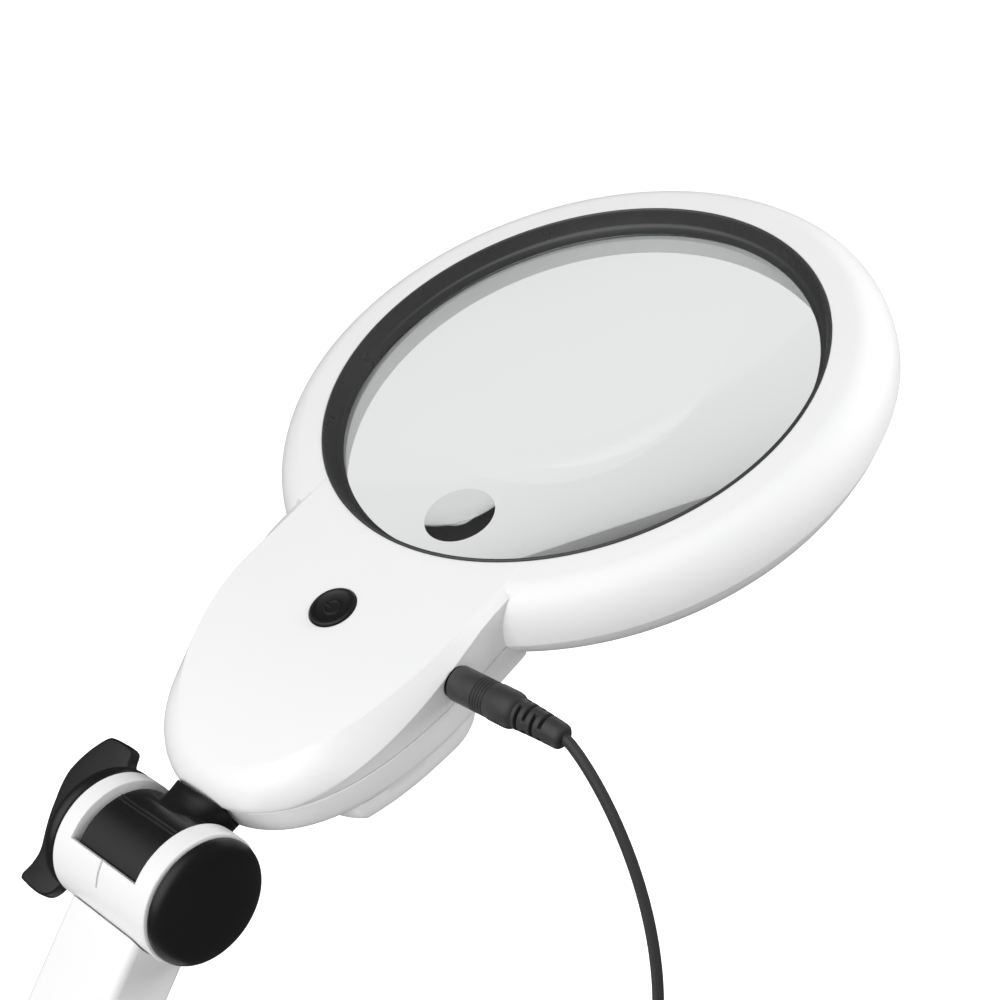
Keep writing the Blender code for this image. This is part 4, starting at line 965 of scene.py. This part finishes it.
def housing_mesh():
    """Barrel with window, index slit, nut pocket and spigot; the window faces +Z."""
    rim = BARREL_RADIUS
    end = BARREL_HALF
    barrel = along_y(revolve([
        (rim - 0.7 * MM, -end), (rim - 0.25 * MM, -end + 0.12 * MM), (rim, -end + 0.5 * MM),
        (rim, end - 0.5 * MM), (rim - 0.25 * MM, end - 0.12 * MM), (rim - 0.7 * MM, end)],
        HINGE_STEPS))
    play = ARM_WALL + GAP
    spigot = rounded_rectangle(ARM_DEPTH - 2 * play, ARM_WIDTH - 2 * play, 1.5 * MM, 4)
    body = fuse(barrel, prism(spigot, -SPIGOT_LENGTH, -12.0 * MM))
    pocket = along_y(cylinder(POCKET_RADIUS, -WINDOW_HALF, WINDOW_HALF, HINGE_STEPS))
    window = sector(1.3 * rim, -WINDOW_ANGLE, WINDOW_ANGLE, WINDOW_HALF - 0.03 * MM)
    bore = along_y(cylinder(STUD_BORE, -BESIDE, BESIDE))
    nut_pocket = along_y(cylinder(NUT_RADIUS, -BESIDE, -14.6 * MM, 6))
    screw_hole = moved(along_x(cylinder(1.5 * MM, -0.02, 0.02)),
                       (0.0, 0.0, -SPIGOT_LENGTH + 6.0 * MM))
    slit = sector(rim + 1.0 * MM, WINDOW_ANGLE - 0.02, WINDOW_ANGLE + math.radians(24.0),
                  0.28 * MM, 12, rim - 0.7 * MM)
    return carve(body, pocket, window, bore, nut_pocket, screw_hole, slit)


def cap_mesh():
    """Domed cover of the nut with a faint moulding dot in the middle."""
    face = BARREL_HALF + GAP
    edge = 15.35 * MM
    profile = [(NUT_RADIUS + 0.9 * MM, -face), (edge - 0.3 * MM, -face), (edge, -face - 0.3 * MM)]
    height = 5.2 * MM
    steps = 22
    for i in range(1, steps + 1):
        angle = QUARTER * i / steps
        profile.append((edge * math.cos(angle) ** 0.62 if i < steps else 0.35 * MM,
                        -face - 0.8 * MM - (height - 0.8 * MM) * math.sin(angle) ** 0.9))
    profile += [(0.35 * MM, -face - height - 0.12 * MM), (0.0, -face - height - 0.12 * MM),
                (0.0, -face - 2.2 * MM), (NUT_RADIUS + 0.9 * MM, -face - 2.2 * MM)]
    return along_y(revolve(profile, HINGE_STEPS, closed=True))


def knob_mesh():
    """Wing knob: round disc with a rim and one curved wing across it, along X."""
    face = BARREL_HALF + GAP
    disc = along_y(revolve([
        (0.0, face), (15.2 * MM, face), (15.7 * MM, face + 0.3 * MM), (16.0 * MM, face + 0.9 * MM)]
        + mm([(16.0, 20.4), (15.8, 21.3), (15.2, 22.1), (14.2, 22.8), (12.0, 23.8), (9.0, 24.7),
              (5.0, 25.4), (0.0, 25.7)]), HINGE_STEPS))
    right_end = [(13.0, 22.0), (15.0, 23.5), (16.2, 25.2), (18.6, 26.2), (19.4, 27.5), (19.5, 31.0),
                 (19.2, 34.5), (18.5, 36.2)]
    arch = [(16.0, 38.2), (12.0, 40.4), (7.1, 41.9), (3.0, 41.6), (-0.5, 40.6), (-4.5, 39.3),
            (-8.5, 37.4), (-12.4, 35.4), (-16.0, 35.3), (-19.9, 36.3)]
    left_end = [(-20.6, 33.5), (-20.8, 30.0), (-20.6, 27.0), (-19.6, 24.9), (-17.5, 23.4),
                (-13.0, 22.0)]
    outline = [Vector((x * MM, (y - 1.3) * MM, 0.0))
               for x, y in spline(right_end + arch + left_end, 3)]
    wing = bevelled(prism(outline, -1.75 * MM, 1.75 * MM), 0.7 * MM, 4, 50.0)
    knob = fuse(disc, wing)
    return carve(knob, along_y(cylinder(STUD_BORE, 0.0, 24.0 * MM)))


def knuckle_mesh():
    """Knuckle drum with softened ends."""
    return along_y(revolve([
        (KNUCKLE_RADIUS - 0.4 * MM, -KNUCKLE_HALF), (KNUCKLE_RADIUS, -KNUCKLE_HALF + 0.4 * MM),
        (KNUCKLE_RADIUS, KNUCKLE_HALF - 0.4 * MM), (KNUCKLE_RADIUS - 0.4 * MM, KNUCKLE_HALF)],
        HINGE_STEPS))


def tip_recess(side):
    """How far the handle's outline falls back from its tip at a distance from the middle."""
    share = 1.0 - (abs(side) / HANDLE_HALF) ** (1.0 / HANDLE_ROOT)
    return (HANDLE_TIP - HANDLE_SHOULDER) * (1.0 - share ** (1.0 / HANDLE_POWER))


def head_neck_mesh():
    """Knuckle, waisted neck that hugs the handle's tip, and the tang inside the handle."""
    reach = HINGE_TO_LENS - HANDLE_TIP - GAP
    stations = [(2.0, 11.0, 13.6, -12.4), (5.5, 11.0, 13.0, -11.6), (8.0, 10.2, 11.9, -9.8),
                (10.0, 9.5, 10.8, -8.2), (12.4, 8.9, 9.9, -6.9), (14.4, 8.8, 9.6, -6.1),
                (16.0, 9.1, 9.5, -5.6), (reach / MM, 9.5, 9.3, -5.4)]
    loops = []
    for x, half, top, bottom in spline(stations, 5):
        ring = superellipse(0.5 * (top - bottom) * MM, half * MM, 2.3, 56)
        middle = 0.5 * (top + bottom) * MM
        hug = min(max((x - 8.0) / 8.0, 0.0), 1.0) ** 2
        loops.append([Vector((x * MM + hug * tip_recess(p.y), p.y, p.x + middle)) for p in ring])
    drop = (lens_origin - UPPER).dot(head_up)
    tang = block((reach - 1.0 * MM, -7.0 * MM, drop + TANG_BOTTOM),
                 (27.3 * MM, 7.0 * MM, drop + TANG_TOP))
    neck = fuse(knuckle_mesh(), loft(loops), tang)
    for angle in (-25.0, -21.0):
        neck = fuse(neck, sector(KNUCKLE_RADIUS + 0.2 * MM, math.radians(angle),
                                 math.radians(angle + 1.4), KNUCKLE_HALF - 0.5 * MM, 3, 10.0 * MM))
    return carve(neck, along_y(cylinder(STUD_BORE, -BESIDE, BESIDE)))


def arm_tube_mesh():
    """Rectangular tube between the two barrels, saddle-cut and softened at both ends."""
    outer = rounded_rectangle(ARM_DEPTH, ARM_WIDTH, 2.2 * MM)
    inner = rounded_rectangle(ARM_DEPTH - 2 * ARM_WALL, ARM_WIDTH - 2 * ARM_WALL, 0.8 * MM)
    tube_mesh = carve(prism(outer, 8.0 * MM, ARM_LENGTH - 8.0 * MM), prism(inner, 0.0, ARM_LENGTH))
    for height in (0.0, ARM_LENGTH):
        saddle = along_y(cylinder(BARREL_RADIUS + GAP, -BESIDE, BESIDE, 2 * HINGE_STEPS))
        tube_mesh = carve(tube_mesh, moved(saddle, (0.0, 0.0, height)))
    reach = SPIGOT_LENGTH - 6.0 * MM
    for height in (reach, ARM_LENGTH - reach):
        hole = along_x(cylinder(1.5 * MM, 0.0, 0.02))
        tube_mesh = carve(tube_mesh, moved(hole, (0.0, 0.0, height)))
    return tube_mesh


# ================================ base =============================================

def base_row(inset, height, steps=160):
    """Superellipse outline of the base, drawn in by an inset."""
    ring = superellipse(BASE_LENGTH / 2 - inset, BASE_WIDTH / 2 - inset, BASE_POWER, steps)
    return [p + Vector((0.0, 0.0, height)) for p in ring]


def base_cover_mesh():
    """Oval cover: rounded shoulder, shallow groove round its foot, opening for the post."""
    start = PAD_TOP + GAP
    rows = [(1.3, start), (0.9, start + 0.35 * MM), (0.8, 3.2 * MM), (0.95, 3.45 * MM),
            (0.95, 3.9 * MM), (0.5, 4.15 * MM), (0.1, 5.4 * MM), (0.0, 6.6 * MM)]
    loops = [base_row(inset * MM, z) for inset, z in rows]
    steps = 20
    bottom, depth = 9.0 * MM, 15.0 * MM
    for i in range(steps + 1):
        angle = QUARTER * i / steps
        loops.append(base_row(depth * (1.0 - math.cos(angle)),
                              bottom + (BASE_TOP - bottom) * math.sin(angle)))
    cover = loft(loops)
    hollow = [base_row(2.0 * MM, 0.0), base_row(2.0 * MM, 8.0 * MM)]
    for i in range(7):
        angle = QUARTER * i / 6
        hollow.append(base_row(2.2 * MM + depth * (1.0 - math.cos(angle)),
                               8.8 * MM + (BASE_TOP - 11.0 * MM) * math.sin(angle)))
    cover = carve(cover, loft(hollow))
    post = rounded_rectangle(20.6 * MM, 20.6 * MM, 3.0 * MM)
    return carve(cover, moved(prism(post, 18.0 * MM, 30.0 * MM), (LOWER.x, 0.0, 0.0)))


def base_neck_mesh():
    """Knuckle of the lower hinge on its waisted post; the foot is inside the base."""
    foot_bottom = 13.5 * MM - LOWER.z
    foot_top = foot_bottom + 6.0 * MM
    foot = prism(rounded_rectangle(34.0 * MM, 34.0 * MM, 4.0 * MM), foot_bottom, foot_top)
    stations = [(9.6, 10.0, (foot_top - 1.0 * MM) / MM), (9.6, 10.0, (BASE_TOP - LOWER.z) / MM),
                (8.9, 9.4, -21.0), (8.2, 8.6, -17.5), (8.3, 9.0, -14.0), (9.0, 9.8, -9.5)]
    loops = [[Vector((p.x, p.y, z * MM)) for p in superellipse(x * MM, y * MM, 4.0, 64)]
             for x, y, z in spline(stations, 5)]
    neck = fuse(foot, loft(loops), knuckle_mesh())
    for side in (-10.0 * MM, 10.0 * MM):
        hole = cylinder(2.3 * MM, foot_bottom - 0.01, foot_top - 1.2 * MM, 24, (0.0, side))
        neck = carve(neck, hole)
    return carve(neck, along_y(cylinder(STUD_BORE, -BESIDE, BESIDE)))


# ================================ power lead =======================================

def lead_point(t):
    """Point on the hanging curve of the lead, from the relief's end (0) to the vertical (1)."""
    start = Vector((0.0, -33.3, -0.6)) * MM
    leave = Vector((0.0, -37.0, -0.95)) * MM
    approach = Vector((0.0, -62.8, -22.0)) * MM
    end = Vector((0.0, -62.6, -62.0)) * MM
    s = 1.0 - t
    return s ** 3 * start + 3 * s * s * t * leave + 3 * s * t * t * approach + t ** 3 * end


def grip_mesh():
    """Moulded grip: straight nose with five fine grooves, then a slightly fuller tail."""
    start = GAP
    radius = PLUG_RADIUS - 0.15 * MM
    profile = [(0.0, start), (radius - 0.5 * MM, start), (radius - 0.15 * MM, start + 0.15 * MM),
               (radius, start + 0.5 * MM)]
    for i in range(5):
        edge = start + (7.7 + 0.85 * i) * MM
        profile += [(radius, edge), (radius - 0.28 * MM, edge + 0.12 * MM),
                    (radius - 0.28 * MM, edge + 0.3 * MM), (radius, edge + 0.42 * MM)]
    tail = PLUG_RADIUS
    profile += [(radius, start + 12.1 * MM), (tail, start + 12.6 * MM),
                (tail, PLUG_LENGTH - 2.4 * MM), (tail - 0.15 * MM, PLUG_LENGTH - 1.5 * MM),
                (tail - 0.6 * MM, PLUG_LENGTH - 0.6 * MM), (tail - 1.2 * MM, PLUG_LENGTH),
                (0.0, PLUG_LENGTH)]
    grip = along_minus_y(revolve(profile, SMALL_STEPS))
    hole = along_minus_y(cylinder(3.05 * MM, -0.01, 4.0 * MM))
    return carve(outward(grip), outward(hole))


def relief_mesh():
    """Strain relief: tapering sleeve with staggered slots and a plain collar at its end."""
    steps = 24
    start = Vector((0.0, -PLUG_LENGTH - GAP, 0.0))
    end = lead_point(0.0)
    path = [Vector((0.0, start.y + (end.y - start.y) * i / steps,
                    (end.z - start.z) * (i / steps) ** 2)) for i in range(steps + 1)]
    radii = []
    for i in range(steps + 1):
        share = i / steps
        radius = (3.75 - 0.75 * share) * MM
        rounding = max(0.0, (share - 0.93) / 0.07)
        radii.append(radius - 0.6 * MM * rounding ** 2)
    relief = tube(path, radii, SMALL_STEPS)
    slot_width = 0.95 * MM
    pitch = 2.25 * MM
    reach = 6.0 * MM
    core = 1.7 * MM
    for i in range(4):
        y = start.y - 1.0 * MM - pitch * i
        z = path[min(steps, round((1.0 + 2.25 * i) / 13.2 * steps))].z
        ring = along_y(revolve([(core, 0.0), (reach, 0.0), (reach, slot_width),
                                (core, slot_width)], 40, closed=True))
        spine_half = 1.15 * MM
        if i % 2:
            spine = block((-reach - 1.0 * MM, -1.0 * MM, -spine_half),
                          (reach + 1.0 * MM, 2.0 * MM, spine_half))
        else:
            spine = block((-spine_half, -1.0 * MM, -reach - 1.0 * MM),
                          (spine_half, 2.0 * MM, reach + 1.0 * MM))
        cutter = carve(ring, spine)
        relief = carve(relief, moved(cutter, (0.0, y - slot_width, z)))
    return relief


def lead_mesh():
    """Lead: along its hanging curve and then straight down."""
    steps = 60
    curve = [lead_point(i / steps) for i in range(steps + 1)]
    curve[0] = curve[0] + 2.0 * GAP * (curve[1] - curve[0]).normalized()
    drop = -LEAD_DROP - curve[-1].z
    foot = curve[-1]
    curve += [foot + Vector((0.0, 0.0, drop * i / 12)) for i in range(1, 13)]
    return tube(curve, [LEAD_RADIUS] * len(curve), 32, 0.9)


def usb_frame():
    """Frame of the connector at the lead's lower end."""
    return LEAD @ Matrix.Translation(Vector((0.0, lead_point(1.0).y, -LEAD_DROP - GAP)))


def usb_grip_mesh():
    """Moulded grip with a ribbed neck and softened edges."""
    stations = [(4.0, 4.0, 0.0), (4.2, 4.4, -1.2), (4.6, 5.2, -5.0), (5.6, 8.4, -8.5),
                (7.4, 14.2, -11.4), (8.0, 15.6, -13.5), (8.0, 15.6, -29.6), (7.8, 15.4, -30.7),
                (7.2, 14.8, -31.0)]
    loops = []
    for depth, width, z in stations:
        outline = rounded_rectangle(depth * MM, width * MM, 0.3 * depth * MM)
        loops.append([p + Vector((0.0, 0.0, z * MM)) for p in outline])
    grip = loft(loops)
    for i in range(3):
        for sign in (-1, 1):
            groove = moved(block((-0.6 * MM, -5.0 * MM, 0.0), (0.6 * MM, 5.0 * MM, 0.7 * MM)),
                           (sign * 4.3 * MM, 0.0, (-17.0 - 2.6 * i) * MM))
            grip = carve(grip, groove)
    return grip


def usb_shell_mesh():
    """Open metal sleeve of the connector with its two latch windows."""
    outer = rounded_rectangle(4.5 * MM, 12.0 * MM, 0.6 * MM, 4)
    inner = rounded_rectangle(3.7 * MM, 11.2 * MM, 0.4 * MM, 4)
    shell = carve(prism(outer, -43.0 * MM, -31.0 * MM - GAP),
                  prism(inner, -44.0 * MM, -32.0 * MM - GAP))
    for side in (-2.9 * MM, 2.9 * MM):
        window = block((-4.0 * MM, side - 1.25 * MM, -38.0 * MM),
                       (4.0 * MM, side + 1.25 * MM, -36.0 * MM))
        shell = carve(shell, window)
    return shell


def usb_tongue_mesh():
    """Contact tongue inside the sleeve."""
    return bevelled(block((-1.6 * MM, -5.4 * MM, -42.4 * MM), (0.2 * MM, 5.4 * MM, -32.4 * MM)),
                    0.15 * MM)


# ================================ assembly =========================================

def build_head():
    """Pieces that move with the head, its button and its cell cover."""
    white, black = "white_plastic", "black_plastic"
    button_frame = HEAD @ Matrix.Translation((-BUTTON_ALONG, 0.0, 0.0))
    piece("shell_top", top_shell_mesh(), HEAD, white, "head", "head_upper_shell")
    piece("shell_bottom", bottom_shell_mesh(), HEAD, white, "head", "head_lower_shell")
    piece("bezel", bezel_mesh(), HEAD, "bezel_plastic", "head", "lens_bezel")
    piece("lens_large", main_lens_mesh(), HEAD, "clear_lens", "head", "main_lens")
    piece("lens_small", inset_lens_mesh(), HEAD, "clear_lens", "head", "inset_lens")
    piece("light_cover", diffuser_mesh(), HEAD, "frosted_plastic", "head", "led_diffuser")
    piece("button_cap", button_mesh(), button_frame, black, "button", "power_button")
    piece("cell_cover", battery_cover_mesh(), HEAD, white, "battery_door", "battery_cover")
    piece("neck", head_neck_mesh(), NECK, black, "head", "head_neck")


def build_hinges():
    """Both hinges and the arm between them."""
    for name, matrix in (("upper", UPPER_HINGE), ("lower", LOWER_HINGE)):
        hinge = name + "_hinge_"
        knob_frame = Matrix.Translation(matrix.translation) @ Matrix.Rotation(-KNOB_ANGLE, 4, 'Y')
        piece(name + "_barrel", housing_mesh(), matrix, "white_plastic", "arm",
              hinge + "housing")
        piece(name + "_cap", cap_mesh(), matrix, "black_plastic", "arm", hinge + "cap")
        piece(name + "_knob", knob_mesh(), knob_frame, "black_plastic", name + "_knob",
              hinge + "knob")
    piece("arm_bar", arm_tube_mesh(), ARM, "white_plastic", "arm", "arm_tube")


def build_base():
    """Cover and post of the base."""
    piece("base_shell", base_cover_mesh(), Matrix.Identity(4), "white_plastic", "base",
          "base_cover")
    piece("base_post", base_neck_mesh(), BASE_NECK, "black_plastic", "base", "base_neck")


def build_lead():
    """Power plug and lead down to its far connector."""
    rubber, end = "black_rubber", usb_frame()
    piece("plug_body", grip_mesh(), PLUG, rubber, "plug", "plug_grip")
    piece("plug_relief", relief_mesh(), LEAD, rubber, "lead", "strain_relief")
    piece("lead_cord", lead_mesh(), LEAD, rubber, "lead", "power_lead")
    piece("usb_grip", usb_grip_mesh(), end, rubber, "lead", "usb_plug_grip")
    piece("usb_sleeve", usb_shell_mesh(), end, "plated_steel", "lead", "usb_plug_shell")
    piece("usb_tongue", usb_tongue_mesh(), end, "black_plastic", "lead")


def dress_cad_nodes():
    """Give every CAD node that stays its own finished material."""
    slots = {entry["node"]: entry["material_slot"] for entry in frame["record"]["subparts"]}
    for name, node in frame["nodes"].items():
        if node.hide_render:
            continue
        node.data.materials.clear()
        node.data.materials.append(looks[slots[name]])


# ================================ studio ===========================================

def area_light(name, place, target, size, power):
    """Square soft light aimed at a point."""
    data = bpy.data.lights.new(name, 'AREA')
    data.size = size
    data.energy = power
    light = placed(name, data)
    light.visible_glossy = False
    light.visible_transmission = False
    light.location = place
    light.rotation_euler = (Vector(target) - Vector(place)).to_track_quat('-Z', 'Y').to_euler()


def build_floor():
    """Wide flat pale floor."""
    reach = 6.0
    mesh = bmesh.new()
    mesh.faces.new([mesh.verts.new((x, y, 0.0)) for x, y in
                    ((-reach, -reach), (reach, -reach), (reach, reach), (-reach, reach))])
    data = finished("studio_floor", mesh)
    data.materials.append(floor_material("pale_floor"))
    placed("studio_floor", data)


def build_camera():
    """Camera above the cap side, looking along the head; placed from the lens."""
    data = bpy.data.cameras.new("studio_camera")
    data.sensor_width = 36.0
    data.lens = 61.2
    camera = placed("studio_camera", data)
    right = Vector((0.694, -0.719, 0.0)).normalized()
    forward = Vector((0.655, 0.632, -0.4137)).normalized()
    up = right.cross(forward)
    place = lens_origin + Vector((-318.65, -282.4, 154.96)) * MM
    rotation = Matrix((right, up, -forward)).transposed().to_4x4()
    camera.matrix_world = Matrix.Translation(place) @ rotation
    bpy.context.scene.camera = camera


def build_world():
    """White surroundings: even as light, and in a gloss dark apart from one bright side."""
    world = bpy.data.worlds.new("studio_world")
    air = Shading(world)
    facing = air.add("VectorMath", "Value", {
        0: air.add("TexCoord", "Generated"), 1: BRIGHT_SIDE}, operation='DOT_PRODUCT')
    gloss = air.add("MapRange", "Result", {
        "Value": facing, "From Min": 0.55, "From Max": 1.0,
        "To Min": WORLD_GLOSSY_LOW, "To Max": WORLD_GLOSSY_HIGH})
    strength = WORLD_SEEN
    for kind, value in (("Diffuse", WORLD_DIFFUSE), ("Glossy", gloss),
                        ("Transmission", WORLD_IN_LENS)):
        strength = air.add("Mix", "Result", {"Factor": air.ray(kind), "A": strength, "B": value})
    air.feed(air.nodes["Background"], {"Color": (1.0, 1.0, 1.0, 1.0), "Strength": strength})
    bpy.context.scene.world = world


def build_studio():
    """World, lights, floor and camera."""
    build_world()
    bpy.context.scene.view_settings.view_transform = 'Standard'
    area_light("right_light", (0.75, -0.4, 0.6), (0.3, -0.05, 0.32), 0.5, RIGHT_POWER)
    area_light("left_light", (-1.1, -0.12, 0.8), (0.1, 0.0, 0.2), 0.9, LEFT_POWER)
    build_floor()
    build_camera()


build_head()
build_hinges()
build_base()
build_lead()
dress_cad_nodes()
build_studio()
